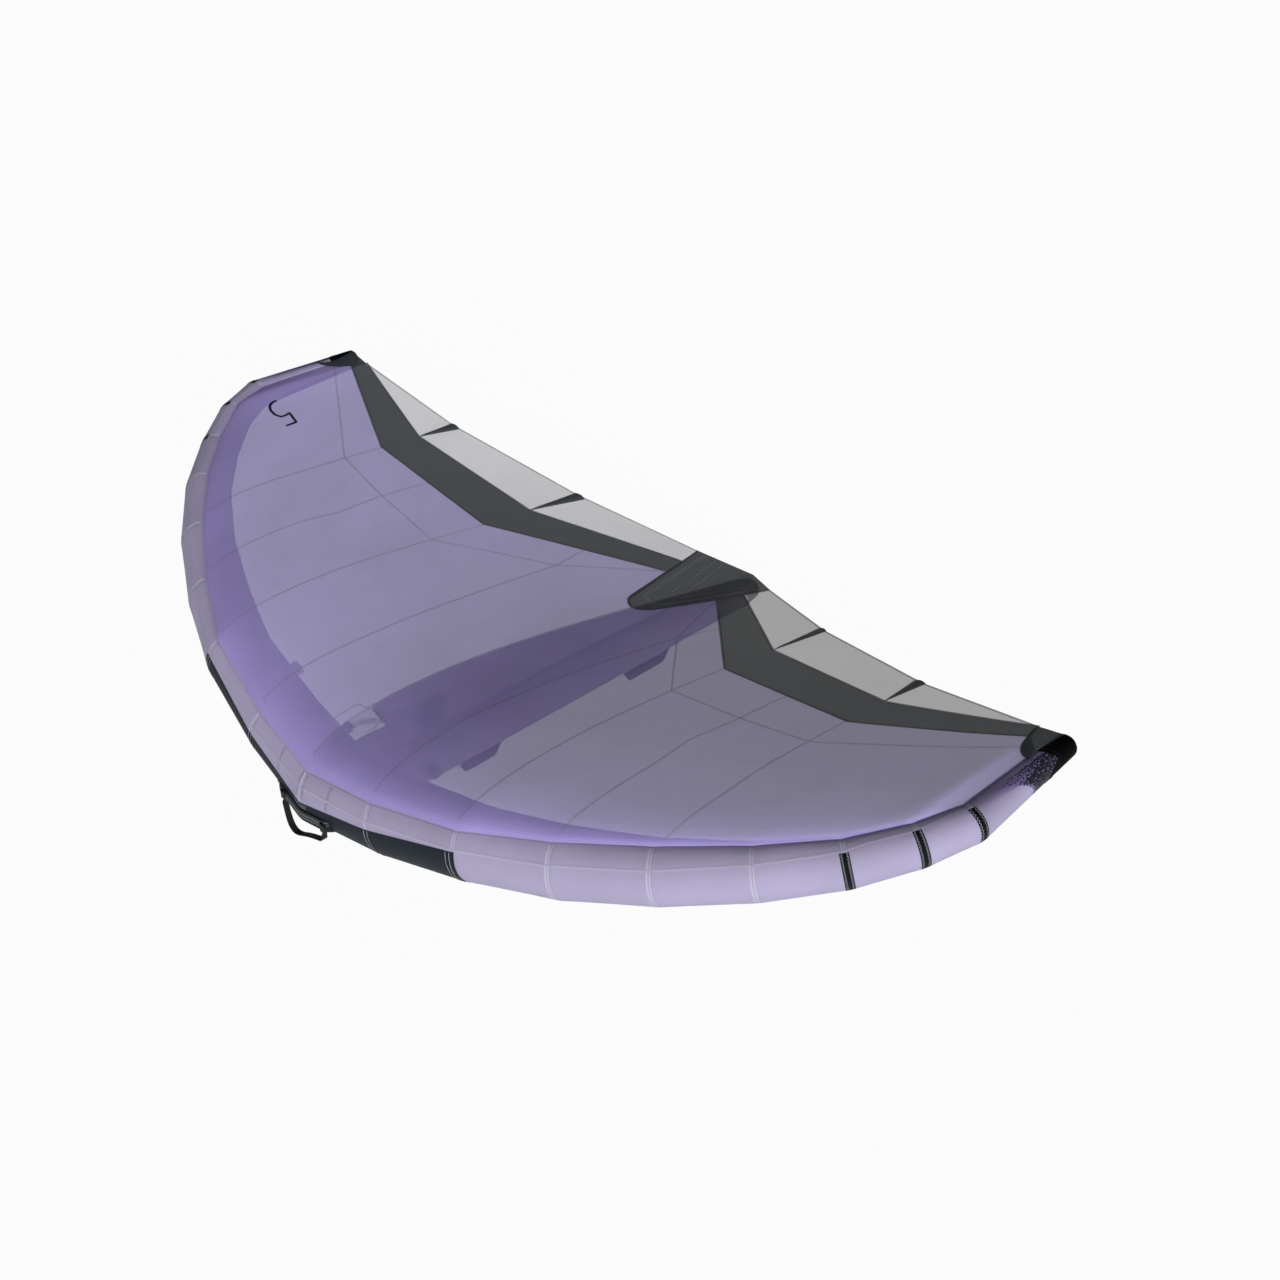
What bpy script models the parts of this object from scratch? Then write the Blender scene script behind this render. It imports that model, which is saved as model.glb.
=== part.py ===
"""Inflatable hand-held wing for foil boards, five square metres of cloth.

An inflated leading edge and one inflated strut carry a thin canopy. X runs across the span,
-Y points to the leading edge, +Z is up. Everything is laid out from the centre of the
trailing edge, and at the end the wing is moved so that the origin is the bottom centre
of its box. Sizes are in metres and angles in degrees.
"""
import math

import bpy
import bmesh
from mathutils import Matrix, Vector

MM = 0.001

# Overall sizes
HALF_SPAN = 1.704
CHORD = 1.887
LE_SWEEP = 1.300
LE_DROP = 0.078
TIP_RISE = 0.425
TE_RISE = 0.514
LE_RADIUS = 0.131

# Leading edge tube: one entry for each joint from the centre to the tip
JOINT_X_SHARES = (0.0, 0.177, 0.368, 0.526, 0.674, 0.801, 0.898, 0.964, 1.0, 0.994)
JOINT_Y_SHARES = (0.0, 0.017, 0.053, 0.126, 0.216, 0.324, 0.443, 0.555, 0.664, 1.0)
JOINT_Z_SHARES = (0.0, 0.125, 0.304, 0.421, 0.569, 0.708, 0.815, 0.922, 0.980, 1.0)
JOINT_R_SHARES = (1.0, 0.943, 0.843, 0.791, 0.703, 0.612, 0.531, 0.472, 0.407, 0.263)
SEAM_DEGREES = (132.0, 132.0, 128.0, 113.0, 98.0, 88.0, 84.0, 80.0, 66.0, 62.0)
LE_SIDES = 20
TIP_DOME_SHARE = 0.55

# Cloth, films and clearances
TUBE_WALL = 2.0 * MM
CANOPY_CLOTH = 2.0 * MM
PATCH_CLOTH = 1.5 * MM
FILM = 1.2 * MM
LAP_GAP = 0.4 * MM
EDGE_INSET = 0.4 * MM
SEAT_GAP = 0.3 * MM
FLANGE_ROOM = 6.6 * MM

# Canopy outline, as shares of the half span and of the chord ahead of the trailing edge
CAMBER_SHARES = (0.081, 0.072, 0.063, 0.055, 0.045, 0.040, 0.036, 0.032, 0.025)
CAMBER_PEAK_POWER = 0.53
CHORD_ROW_SHARES = (0.0, 0.03, 0.08, 0.16, 0.28, 0.42, 0.58, 0.78, 1.0)
PATCH_NOSE_SHARES = (0.0, 0.326)
PATCH_ROUND_SHARES = (0.0176, 0.313)
PATCH_SIDE_SHARES = (0.078, 0.180)
PATCH_CORNER_SHARES = (0.110, 0.0594)
BAND_LOW_IN_SHARES = (0.357, 0.424)
BAND_LOW_OUT_SHARES = (0.671, 0.451)
BAND_LOW_TIP_SHARES = (0.949, 0.342)
BAND_UP_IN_SHARES = (0.360, 0.305)
BAND_UP_OUT_SHARES = (0.672, 0.358)
BAND_UP_TIP_SHARES = (0.941, 0.307)
TE_X_SHARES = (0.0, 0.110, 0.347, 0.373, 0.658, 0.684, 0.941, 0.975)
TE_Y_SHARES = (0.0, 0.0594, 0.1643, 0.1765, 0.261, 0.267, 0.307, 0.310)
TE_Z_SHARES = (0.0, 0.138, 0.401, 0.434, 0.720, 0.743, 1.0, 1.035)
TIP_EDGE_STATION = 8.75
TIP_END_STATION = 8.97
BAND_ROWS = 2
TE_BAND_END_SHARE = 0.955

# Batten pockets near the trailing edge
BATTEN_NAMES = ("inner", "outer")
BATTEN_X_SHARES = (0.360, 0.671)
POCKET_REAR_WIDTH = 44.0 * MM
POCKET_NOSE_WIDTH = 9.0 * MM
POCKET_ROW_SHARES = (0.0, 0.16, 0.58, 1.0)
POCKET_HEIGHT = 3.6 * MM
BATTEN_WIDTH_SHARE = 0.30
BATTEN_THICKNESS = 1.4 * MM

# Strut tube, front to back
STRUT_RADIUS = 0.085
STRUT_SIDES = 16
STRUT_Y_SHARES = (0.945, 0.726, 0.466, 0.207, 0.042, 0.004)
STRUT_DROP = 0.051
STRUT_Z_SHARES = (-0.16, -0.08, 0.0, 0.31, 1.0, 1.08)
STRUT_R_SHARES = (1.0, 1.0, 1.0, 0.876, 0.600, 0.424)
STRUT_CAP_START = 0.080
STRUT_CAP_WALL = 3.0 * MM
STRUT_CAP_DOME = 12.0 * MM
FIN_CLOTH = 2.0 * MM
FIN_CLEARANCE = 0.6 * MM
FIN_ROWS = 10
BLADDER_END_GAP = 0.045

# Reinforcements on the leading edge
SCUFF_HIGH_STEPS = 2
SCUFF_LOW_STEPS = 8
TIP_CAP_START_STATION = 8.56
TIP_CAP_WALL = 1.6 * MM
TIP_CAP_STEPS = 13

# Front handle on the nose of the leading edge
PAD_HALF_SHARE = 0.38
PAD_THICKNESS = 5.0 * MM
PAD_HIGH_STEPS = 3
TAB_WIDTH = 28.0 * MM
TAB_DEPTH = 9.0 * MM
TAB_HEIGHT = 30.0 * MM
LOOP_WIDTH = 20.0 * MM
LOOP_THICKNESS = 2.5 * MM
LOOP_DROP = 0.100
LOOP_HALF = 0.105
LOOP_X_SHARES = (-1.0, -1.0, -0.98, -0.88, -0.62, -0.15, 0.38, 0.80, 0.97, 1.0, 1.0)
LOOP_Z_SHARES = (0.0, -0.45, -0.72, -0.92, -1.0, -0.95, -0.76, -0.53, -0.34, -0.18, 0.0)

# Strut handles
HANDLE_PLACE_SHARES = (0.710, 0.301)
HANDLE_NAMES = ("front", "rear")
GRIP_LENGTHS = (0.130, 0.170)
GRIP_RADIUS = 17.0 * MM
GRIP_SIDES = 12
HAND_GAP = 42.0 * MM
STRAP_WIDTH = 25.0 * MM
STRAP_THICKNESS = 2.5 * MM
STRAP_SLOPE_RUN = 40.0 * MM
STRAP_FOOT = 45.0 * MM
ANCHOR_PATCH_WIDTH = 44.0 * MM
ANCHOR_PATCH_LENGTH = 56.0 * MM

# Valves: heights are measured from the outside of the tube's cloth
INFLATE_PLACE_SHARE = 0.840
DEFLATE_STATION = 1.5
VALVE_SIDES = 20
BARREL_RADIUS = 16.0 * MM
BARREL_WALL = 5.0 * MM
BARREL_HEIGHT = 21.0 * MM
BORE_RADIUS = BARREL_RADIUS - BARREL_WALL
FLANGE_RIM = 8.0 * MM
FLANGE_THICKNESS = 1.6 * MM
FLANGE_RADIUS = BARREL_RADIUS + FLANGE_RIM
COLLAR_RIM = 8.0 * MM
COLLAR_THICKNESS = 4.0 * MM
COLLAR_RADIUS = BARREL_RADIUS + COLLAR_RIM
VALVE_CLEARANCE = 0.5 * MM
CAP_THICKNESS = 3.0 * MM
CAP_WALL = 2.5 * MM
CAP_RIM = 6.0 * MM
CAP_HINGE_OVERHANG = 3.0 * MM
CAP_HINGE_REACH = COLLAR_RADIUS + CAP_HINGE_OVERHANG
HINGE_KNUCKLE_RADIUS = 3.0 * MM
HINGE_PIN_RADIUS = 1.2 * MM
HINGE_RUNNING_GAP = 0.3 * MM
KNUCKLE_LENGTH = 9.0 * MM
EAR_THICKNESS = 3.0 * MM
PLUNGER_SEAL_LAP = 2.0 * MM
PLUNGER_DISC_RADIUS = BORE_RADIUS + PLUNGER_SEAL_LAP
PLUNGER_DISC_THICKNESS = 2.0 * MM
STEM_RADIUS = 2.5 * MM
BUTTON_RADIUS = 6.0 * MM
BUTTON_THICKNESS = 2.0 * MM
BUTTON_DEPTH = 9.0 * MM
GUIDE_THICKNESS = 2.0 * MM
GUIDE_WIDTH = 9.0 * MM
GUIDE_DEPTH = 22.0 * MM
SPRING_WIRE = 0.45 * MM
SPRING_RADIUS = 4.3 * MM
SPRING_TURNS = 4

# Transfer hose between the leading edge and the strut, with its pinch clamp
HOSE_STATION = 0.62
HOSE_RADIUS = 9.0 * MM
HOSE_SIDES = 10
HOSE_POINTS = 22
HOSE_REACH = 0.105
STRUT_PORT_SHARE = 0.800
PORT_NECK_WALL = 3.0 * MM
PORT_NECK_RADIUS = HOSE_RADIUS + PORT_NECK_WALL
PORT_NECK_LENGTH = 18.0 * MM
PORT_FLANGE_RIM = 10.0 * MM
PORT_FLANGE_RADIUS = PORT_NECK_RADIUS + PORT_FLANGE_RIM
PORT_FLANGE_THICKNESS = 2.5 * MM
CLAMP_OFFSET = 34.0 * MM
CLAMP_LENGTH = 16.0 * MM
CLAMP_HALF = 15.0 * MM
CLAMP_PLATE = 4.0 * MM
LEVER_END_STEPS = 6
LEVER_OVERHANG = 12.0 * MM

# Zips that give access to the bladders
ZIP_STATIONS = (0.37, 0.94)
ZIP_FACET = 9
ZIP_TEETH_WIDTH = 6.0 * MM
ZIP_TEETH_HEIGHT = 1.5 * MM
STRUT_ZIP_SHARES = (0.690, 0.500)
STRUT_ZIP_WIDTH = 26.0 * MM
SLIDER_LENGTH = 20.0 * MM
SLIDER_WIDTH = 12.0 * MM
SLIDER_HEIGHT = 4.0 * MM
PULL_LENGTH = 26.0 * MM
PULL_WIDTH = 7.0 * MM
PULL_THICKNESS = 1.6 * MM
CUT_OVERRUN = 4.0 * MM

# Colours: red, green, blue, roughness, metallic
FINISHES = {
    "lavender_cloth": (0.28, 0.24, 0.38, 0.55, 0.0),
    "lavender_tube": (0.42, 0.37, 0.56, 0.60, 0.0),
    "dark_cloth": (0.06, 0.065, 0.068, 0.60, 0.0),
    "pale_cloth": (0.42, 0.42, 0.42, 0.55, 0.0),
    "black_cloth": (0.012, 0.015, 0.018, 0.70, 0.0),
    "film": (0.75, 0.78, 0.80, 0.25, 0.0),
    "webbing": (0.02, 0.02, 0.022, 0.80, 0.0),
    "foam": (0.03, 0.03, 0.032, 0.85, 0.0),
    "plastic": (0.03, 0.03, 0.035, 0.35, 0.0),
    "steel": (0.55, 0.55, 0.56, 0.30, 1.0),
    "batten": (0.75, 0.74, 0.68, 0.40, 0.0),
}


# Scene helpers

def clear_scene():
    for old in list(bpy.data.objects):
        bpy.data.objects.remove(old, do_unlink=True)


def material(name):
    found = bpy.data.materials.get(name)
    if found:
        return found
    red, green, blue, roughness, metallic = FINISHES[name]
    made = bpy.data.materials.new(name)
    made.use_nodes = True
    shader = made.node_tree.nodes["Principled BSDF"]
    shader.inputs["Base Color"].default_value = (red, green, blue, 1.0)
    shader.inputs["Roughness"].default_value = roughness
    shader.inputs["Metallic"].default_value = metallic
    made.diffuse_color = (red, green, blue, 1.0)
    return made


def add_object(name, builder, finish, pivot=None, cutter=False):
    """Make an object from a bmesh. The pivot becomes its origin."""
    bmesh.ops.remove_doubles(builder, verts=builder.verts, dist=MM * 0.01)
    bmesh.ops.recalc_face_normals(builder, faces=builder.faces)
    if builder.calc_volume(signed=True) < 0.0:
        bmesh.ops.reverse_faces(builder, faces=builder.faces)
    origin = Vector(pivot) if pivot is not None else Vector()
    bmesh.ops.translate(builder, verts=builder.verts, vec=-origin)
    mesh = bpy.data.meshes.new(name)
    builder.to_mesh(mesh)
    builder.free()
    made = bpy.data.objects.new(name, mesh)
    made.location = origin
    bpy.context.scene.collection.objects.link(made)
    if cutter:
        made.hide_render = True
        made.display_type = 'WIRE'
    else:
        mesh.materials.append(material(finish))
        mesh.shade_smooth()
        mesh.set_sharp_from_angle(angle=math.radians(30.0))
    return made


def cut(target, tool, operation='DIFFERENCE'):
    modifier = target.modifiers.new("cut_" + tool.name, 'BOOLEAN')
    modifier.operation = operation
    modifier.object = tool
    modifier.solver = 'EXACT'


def mirrored(point):
    return Vector((-point.x, point.y, point.z))


def mirror_grid(grid):
    return [[mirrored(point) for point in column] for column in grid]


def between(low, high, share):
    return low + (high - low) * share


# Solid makers

def add_quad(builder, corners, flip):
    """Two triangles; flip picks the other diagonal."""
    first, second, third, fourth = corners
    if flip:
        builder.faces.new((first, second, fourth))
        builder.faces.new((second, third, fourth))
    else:
        builder.faces.new((first, second, third))
        builder.faces.new((first, third, fourth))


def slab_into(builder, lower, upper, flips=None):
    """Closed solid between two grids of the same size."""
    columns = len(lower)
    rows = len(lower[0])
    flips = flips or [False] * (columns - 1)
    low = [[builder.verts.new(point) for point in column] for column in lower]
    top = [[builder.verts.new(point) for point in column] for column in upper]
    for column in range(columns - 1):
        for row in range(rows - 1):
            for layer in (low, top):
                corners = (layer[column][row], layer[column + 1][row],
                           layer[column + 1][row + 1], layer[column][row + 1])
                add_quad(builder, corners, flips[column])
    for column in range(columns - 1):
        for row in (0, rows - 1):
            corners = (low[column][row], low[column + 1][row],
                       top[column + 1][row], top[column][row])
            add_quad(builder, corners, False)
    for row in range(rows - 1):
        for column in (0, columns - 1):
            corners = (low[column][row], low[column][row + 1],
                       top[column][row + 1], top[column][row])
            add_quad(builder, corners, False)


def slab(name, lower, upper, finish, flips=None):
    builder = bmesh.new()
    slab_into(builder, lower, upper, flips)
    return add_object(name, builder, finish)


def raised(grid, height):
    return [[point + Vector((0.0, 0.0, height)) for point in column] for column in grid]


def ring_tube_into(builder, rings, flips=None):
    """Closed tube through rings of points; a one-point ring closes an end."""
    made = [[builder.verts.new(point) for point in ring] for ring in rings]
    flips = flips or [False] * (len(rings) - 1)
    for index in range(len(made) - 1):
        near = made[index]
        far = made[index + 1]
        count = max(len(near), len(far))
        for step in range(count):
            after = (step + 1) % count
            if len(near) == 1:
                builder.faces.new((near[0], far[step], far[after]))
            elif len(far) == 1:
                builder.faces.new((near[step], far[0], near[after]))
            else:
                corners = (near[step], far[step], far[after], near[after])
                add_quad(builder, corners, flips[index])
    for ring in (made[0], made[-1]):
        if len(ring) > 1:
            builder.faces.new(ring)


def turned_into(builder, profile, sides, placing):
    """Solid of revolution about the local Z axis; profile runs (radius, height) all the way round."""
    loops = []
    for radius, height in profile:
        if radius <= 0.0:
            loops.append([builder.verts.new(placing @ Vector((0.0, 0.0, height)))])
            continue
        loop = []
        for step in range(sides):
            turn = math.tau * (step + 0.5) / sides
            spot = Vector((radius * math.cos(turn), radius * math.sin(turn), height))
            loop.append(builder.verts.new(placing @ spot))
        loops.append(loop)
    closed = len(loops[0]) > 1
    pairs = list(zip(loops, loops[1:]))
    if closed:
        pairs.append((loops[-1], loops[0]))
    for near, far in pairs:
        for step in range(sides):
            after = (step + 1) % sides
            if len(near) == 1:
                builder.faces.new((near[0], far[step], far[after]))
            elif len(far) == 1:
                builder.faces.new((near[step], far[0], near[after]))
            else:
                builder.faces.new((near[step], far[step], far[after], near[after]))


def turned(name, profile, sides, placing, finish, pivot=None, cutter=False):
    builder = bmesh.new()
    turned_into(builder, profile, sides, placing)
    return add_object(name, builder, finish, pivot, cutter)


def disc_profile(radius, low, high):
    return [(0.0, low), (radius, low), (radius, high), (0.0, high)]


def ring_profile(inner, outer, low, high):
    return [(inner, low), (outer, low), (outer, high), (inner, high)]


def block_into(builder, placing, low, high):
    """Box between two local corners."""
    corners = []
    for x in (low[0], high[0]):
        for y in (low[1], high[1]):
            for z in (low[2], high[2]):
                corners.append(builder.verts.new(placing @ Vector((x, y, z))))
    for face in ((0, 1, 3, 2), (4, 6, 7, 5), (0, 4, 5, 1), (2, 3, 7, 6), (0, 2, 6, 4), (1, 5, 7, 3)):
        builder.faces.new([corners[index] for index in face])


def block(name, placing, low, high, finish, pivot=None, cutter=False):
    builder = bmesh.new()
    block_into(builder, placing, low, high)
    return add_object(name, builder, finish, pivot, cutter)


def frame_at(origin, outward, along):
    """Local frame: Z outward, X along, Y completes it."""
    z_axis = Vector(outward).normalized()
    x_axis = Vector(along)
    x_axis = (x_axis - z_axis * x_axis.dot(z_axis)).normalized()
    y_axis = z_axis.cross(x_axis)
    turn = Matrix((x_axis, y_axis, z_axis)).transposed()
    return Matrix.Translation(Vector(origin)) @ turn.to_4x4()


def band_into(builder, path, width_axis, half_widths, thickness):
    """Flat webbing along a path; its thickness lies in the path's own plane."""
    wide = Vector(width_axis).normalized()
    rings = []
    for index, spot in enumerate(path):
        before = path[max(index - 1, 0)]
        after = path[min(index + 1, len(path) - 1)]
        onward = (after - before).normalized()
        normal = wide.cross(onward).normalized()
        bend = 1.0
        if 0 < index < len(path) - 1:
            bend = max(onward.dot((after - spot).normalized()), 0.7)
        half = thickness / (bend + bend)
        side = wide * half_widths[index]
        rings.append([spot - side - normal * half, spot + side - normal * half,
                      spot + side + normal * half, spot - side + normal * half])
    ring_tube_into(builder, rings)


def round_tube_into(builder, path, radius, sides, up):
    rings = []
    for index, spot in enumerate(path):
        before = path[max(index - 1, 0)]
        after = path[min(index + 1, len(path) - 1)]
        onward = (after - before).normalized()
        across = onward.cross(Vector(up)).normalized()
        lift = across.cross(onward)
        ring = []
        for step in range(sides):
            turn = math.tau * (step + 0.5) / sides
            ring.append(spot + (across * math.cos(turn) + lift * math.sin(turn)) * radius)
        rings.append(ring)
    ring_tube_into(builder, rings)


def bezier(start, start_handle, end_handle, end, count):
    points = []
    for index in range(count):
        t = index / (count - 1)
        s = 1.0 - t
        points.append(start * s ** 3 + start_handle * (3.0 * s * s * t)
                      + end_handle * (3.0 * s * t * t) + end * t ** 3)
    return points


# Leading edge tube

def joint(index):
    return Vector((HALF_SPAN * JOINT_X_SHARES[index],
                   -CHORD + LE_SWEEP * JOINT_Y_SHARES[index],
                   LE_DROP + TIP_RISE * JOINT_Z_SHARES[index]))


JOINTS = [joint(index) for index in range(len(JOINT_X_SHARES))]
LAST = len(JOINTS) - 1
RADII = [LE_RADIUS * share for share in JOINT_R_SHARES]
STEP = 360.0 / LE_SIDES


def segment_frames():
    """Direction, back and up vectors of each straight tube segment, carried along without twist."""
    frames = []
    for index in range(LAST):
        onward = (JOINTS[index + 1] - JOINTS[index]).normalized()
        if not frames:
            back = Vector((0.0, 1.0, 0.0))
            back = (back - onward * back.dot(onward)).normalized()
        else:
            turn = frames[-1][0].rotation_difference(onward)
            back = turn @ frames[-1][1]
        frames.append((onward, back, onward.cross(back)))
    return frames


FRAMES = segment_frames()


def ring_point(index, step, offset):
    """Point on the mitred ring at a tube joint; step counts down the back from the canopy seam."""
    onward, back, up = FRAMES[min(index, LAST - 1)]
    turn = math.radians(SEAM_DEGREES[index] - STEP * step)
    spoke = back * math.cos(turn) + up * math.sin(turn)
    if index == 0:
        mitre = Vector((1.0, 0.0, 0.0))
    elif index < LAST:
        mitre = (FRAMES[index - 1][0] + onward).normalized()
    else:
        mitre = onward
    slide = -spoke.dot(mitre) / onward.dot(mitre)
    return JOINTS[index] + (spoke + onward * slide) * (RADII[index] + offset)


def tube_point(station, step, offset=0.0):
    """Point on the tube at a fractional station; negative stations are on the left half."""
    place = abs(station)
    index = min(int(place), LAST - 1)
    spot = between(ring_point(index, step, offset), ring_point(index + 1, step, offset), place - index)
    return mirrored(spot) if station < 0.0 else spot


def tube_rings(stations, offset, every=1):
    return [[tube_point(station, step, offset) for step in range(0, LE_SIDES, every)]
            for station in stations]


def tube_flips(stations):
    return [station < 0.0 for station in stations[:-1]]


def whole_stations():
    return [float(index) for index in range(-LAST, LAST + 1)]


def dome_point(side, offset):
    onward = FRAMES[LAST - 1][0]
    spot = JOINTS[LAST] + onward * (RADII[LAST] * TIP_DOME_SHARE + offset)
    return mirrored(spot) if side < 0 else spot


def le_tube(name, offset, finish, every=1, cutter=False):
    """Closed tube with low domes at the tips, offset from the outside of the cloth."""
    stations = whole_stations()
    rings = tube_rings(stations, offset, every)
    rings = [[dome_point(-1, offset)]] + rings + [[dome_point(1, offset)]]
    flips = [True] + tube_flips(stations) + [False]
    builder = bmesh.new()
    ring_tube_into(builder, rings, flips)
    return add_object(name, builder, finish, cutter=cutter)


def tube_skin_grids(stations, first, last, lift, thickness):
    steps = range(first, last + 1)
    lower = [[tube_point(station, step, lift) for step in steps] for station in stations]
    upper = [[tube_point(station, step, lift + thickness) for step in steps] for station in stations]
    return lower, upper


def facet_frame(station, facet, along_share=0.5):
    """Frame on the middle of a tube facet: Z outward, X towards the tip."""
    index = min(int(abs(station)), LAST - 1)
    side = -1.0 if station < 0.0 else 1.0
    near = between(tube_point(side * index, facet), tube_point(side * index, facet + 1), along_share)
    far = between(tube_point(side * (index + 1), facet), tube_point(side * (index + 1), facet + 1),
                  along_share)
    if index == 0:
        near = between(tube_point(0.0, facet), tube_point(0.0, facet + 1), along_share)
    onward = (far - near).normalized()
    middle = between(near, far, abs(station) - index)
    across = tube_point(station, facet + 1) - tube_point(station, facet)
    outward = onward.cross(across).normalized()
    axis_spot = between(JOINTS[index], JOINTS[index + 1], abs(station) - index)
    if side < 0.0:
        axis_spot = mirrored(axis_spot)
    if outward.dot(middle - axis_spot) < 0.0:
        outward = -outward
    return middle, outward, onward


# Canopy surface

def plan(shares):
    return Vector((HALF_SPAN * shares[0], -CHORD * shares[1], 0.0))


def interpolate(xs, values, x):
    """Straight-line interpolation, carried on past both ends."""
    index = 0
    while index < len(xs) - 2 and x > xs[index + 1]:
        index += 1
    share = (x - xs[index]) / (xs[index + 1] - xs[index])
    return values[index] + (values[index + 1] - values[index]) * share


SEAM_LINE = [ring_point(index, 0, LAP_GAP) for index in range(LAST)]
SEAM_X = [spot.x for spot in SEAM_LINE]
SEAM_Y = [spot.y for spot in SEAM_LINE]
SEAM_Z = [spot.z for spot in SEAM_LINE]
TE_X = [HALF_SPAN * share for share in TE_X_SHARES]
TE_Y = [-CHORD * share for share in TE_Y_SHARES]
TE_Z = [TE_RISE * share for share in TE_Z_SHARES]


def canopy_point(x, y):
    """Underside of the canopy over a plan position."""
    front = interpolate(SEAM_X, SEAM_Y, x)
    front_z = interpolate(SEAM_X, SEAM_Z, x)
    rear = interpolate(TE_X, TE_Y, x)
    rear_z = interpolate(TE_X, TE_Z, x)
    share = min(max((y - front) / (rear - front), 0.0), 1.0)
    camber = interpolate(SEAM_X, CAMBER_SHARES, x) * (rear - front)
    bump = camber * math.sin(math.pi * share ** CAMBER_PEAK_POWER)
    return Vector((x, y, between(front_z, rear_z, share) + bump))


def lift_plan(spot):
    return canopy_point(spot.x, spot.y)


def loft(front, rear, row_shares):
    """Grid on the canopy between two plan lines with the same number of points."""
    return [[lift_plan(between(near, far, share)) for share in row_shares]
            for near, far in zip(front, rear)]


def inset_grid(grid, front=True, rear=True, start=True, end=True):
    """Pull chosen borders in, so that neighbouring panels meet with a fine gap."""
    moved = [[point.copy() for point in column] for column in grid]

    def pull(target, source):
        target += (source - target).normalized() * EDGE_INSET

    for column in moved:
        if front:
            pull(column[0], column[1])
        if rear:
            pull(column[-1], column[-2])
    if start:
        for near, far in zip(moved[0], moved[1]):
            pull(near, far)
    if end:
        for near, far in zip(moved[-1], moved[-2]):
            pull(near, far)
    return moved


def line_at(points, x):
    """Point at x on a plan line through the given points."""
    return Vector((x, interpolate([p.x for p in points], [p.y for p in points], x), 0.0))


NOSE = plan(PATCH_NOSE_SHARES)
NOSE_ROUND = plan(PATCH_ROUND_SHARES)
PATCH_SIDE = plan(PATCH_SIDE_SHARES)
PATCH_CORNER = plan(PATCH_CORNER_SHARES)
PATCH_MIDDLE = between(PATCH_SIDE, PATCH_CORNER, 0.5)
LOW_LINE = [PATCH_SIDE, plan(BAND_LOW_IN_SHARES), plan(BAND_LOW_OUT_SHARES), plan(BAND_LOW_TIP_SHARES)]
UP_LINE = [PATCH_MIDDLE, plan(BAND_UP_IN_SHARES), plan(BAND_UP_OUT_SHARES), plan(BAND_UP_TIP_SHARES)]
TE_LINE = [Vector((x, y, 0.0)) for x, y in zip(TE_X, TE_Y)]


def panel_lines():
    """Front, middle and rear plan lines of the two bands, with matching points."""
    joints_x = [JOINTS[1].x, JOINTS[3].x, JOINTS[5].x, JOINTS[6].x]
    low = [LOW_LINE[0], line_at(LOW_LINE, joints_x[0]), LOW_LINE[1], line_at(LOW_LINE, joints_x[1]),
           LOW_LINE[2], line_at(LOW_LINE, joints_x[2]), line_at(LOW_LINE, joints_x[3]), LOW_LINE[3]]
    high = [UP_LINE[0], line_at(UP_LINE, joints_x[0]), UP_LINE[1], line_at(UP_LINE, joints_x[1]),
            UP_LINE[2], line_at(UP_LINE, joints_x[2]), line_at(UP_LINE, joints_x[3]), UP_LINE[3]]
    return low, high


LOW_POINTS, HIGH_POINTS = panel_lines()


def main_panel_grid():
    """From the seam on the tube to the dark band, centre to tip."""
    stations = [0.0, NOSE_ROUND.x / JOINTS[1].x, PATCH_SIDE.x / JOINTS[1].x]
    fronts = [tube_point(station, 0, LAP_GAP) for station in stations]
    rears = [NOSE, NOSE_ROUND, PATCH_SIDE]
    fronts += SEAM_LINE[1:LAST - 1]
    rears += LOW_POINTS[1:]
    grid = []
    for near, far in zip(fronts, rears):
        column = []
        for share in CHORD_ROW_SHARES:
            spot = between(Vector((near.x, near.y, 0.0)), far, share)
            column.append(lift_plan(spot) if share > 0.0 else near.copy())
        grid.append(column)
    edge = LAST - 1
    grid.append([tube_point(edge + (TIP_EDGE_STATION - edge) * share, 0, LAP_GAP)
                 for share in CHORD_ROW_SHARES])
    for point in grid[0]:
        point.x = EDGE_INSET
    return inset_grid(grid, front=False, start=False, end=False)


def band_shares():
    return [row / BAND_ROWS for row in range(BAND_ROWS + 1)]


def chevron_grid():
    return inset_grid(loft(LOW_POINTS, HIGH_POINTS, band_shares()))


def te_band_lines():
    """The pale band's borders, with three close columns at each batten pocket."""
    front = [HIGH_POINTS[0], HIGH_POINTS[1]]
    rear = [PATCH_CORNER, line_at(TE_LINE, HIGH_POINTS[1].x)]
    for number, share in enumerate(BATTEN_X_SHARES):
        x = HALF_SPAN * share
        for side in (-0.5, 0.0, 0.5):
            front.append(line_at(UP_LINE, x + side * POCKET_NOSE_WIDTH))
            rear.append(line_at(TE_LINE, x + side * POCKET_REAR_WIDTH))
        if number == 0:
            front.append(HIGH_POINTS[3])
            rear.append(line_at(TE_LINE, HIGH_POINTS[3].x))
    for spot in (HIGH_POINTS[5], HIGH_POINTS[6]):
        front.append(spot)
        rear.append(line_at(TE_LINE, spot.x))
    corner = HIGH_POINTS[-1]
    front.append(between(HIGH_POINTS[-2], corner, TE_BAND_END_SHARE))
    rear.append(line_at(TE_LINE, front[-1].x))
    return front, rear


def te_band_grid():
    front, rear = te_band_lines()
    return inset_grid(loft(front, rear, POCKET_ROW_SHARES), rear=False)


def pocket_columns(number):
    """Where the batten's three columns start in the pale band's grid."""
    return 2 + number * 4


# Pieces of the canopy

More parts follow.
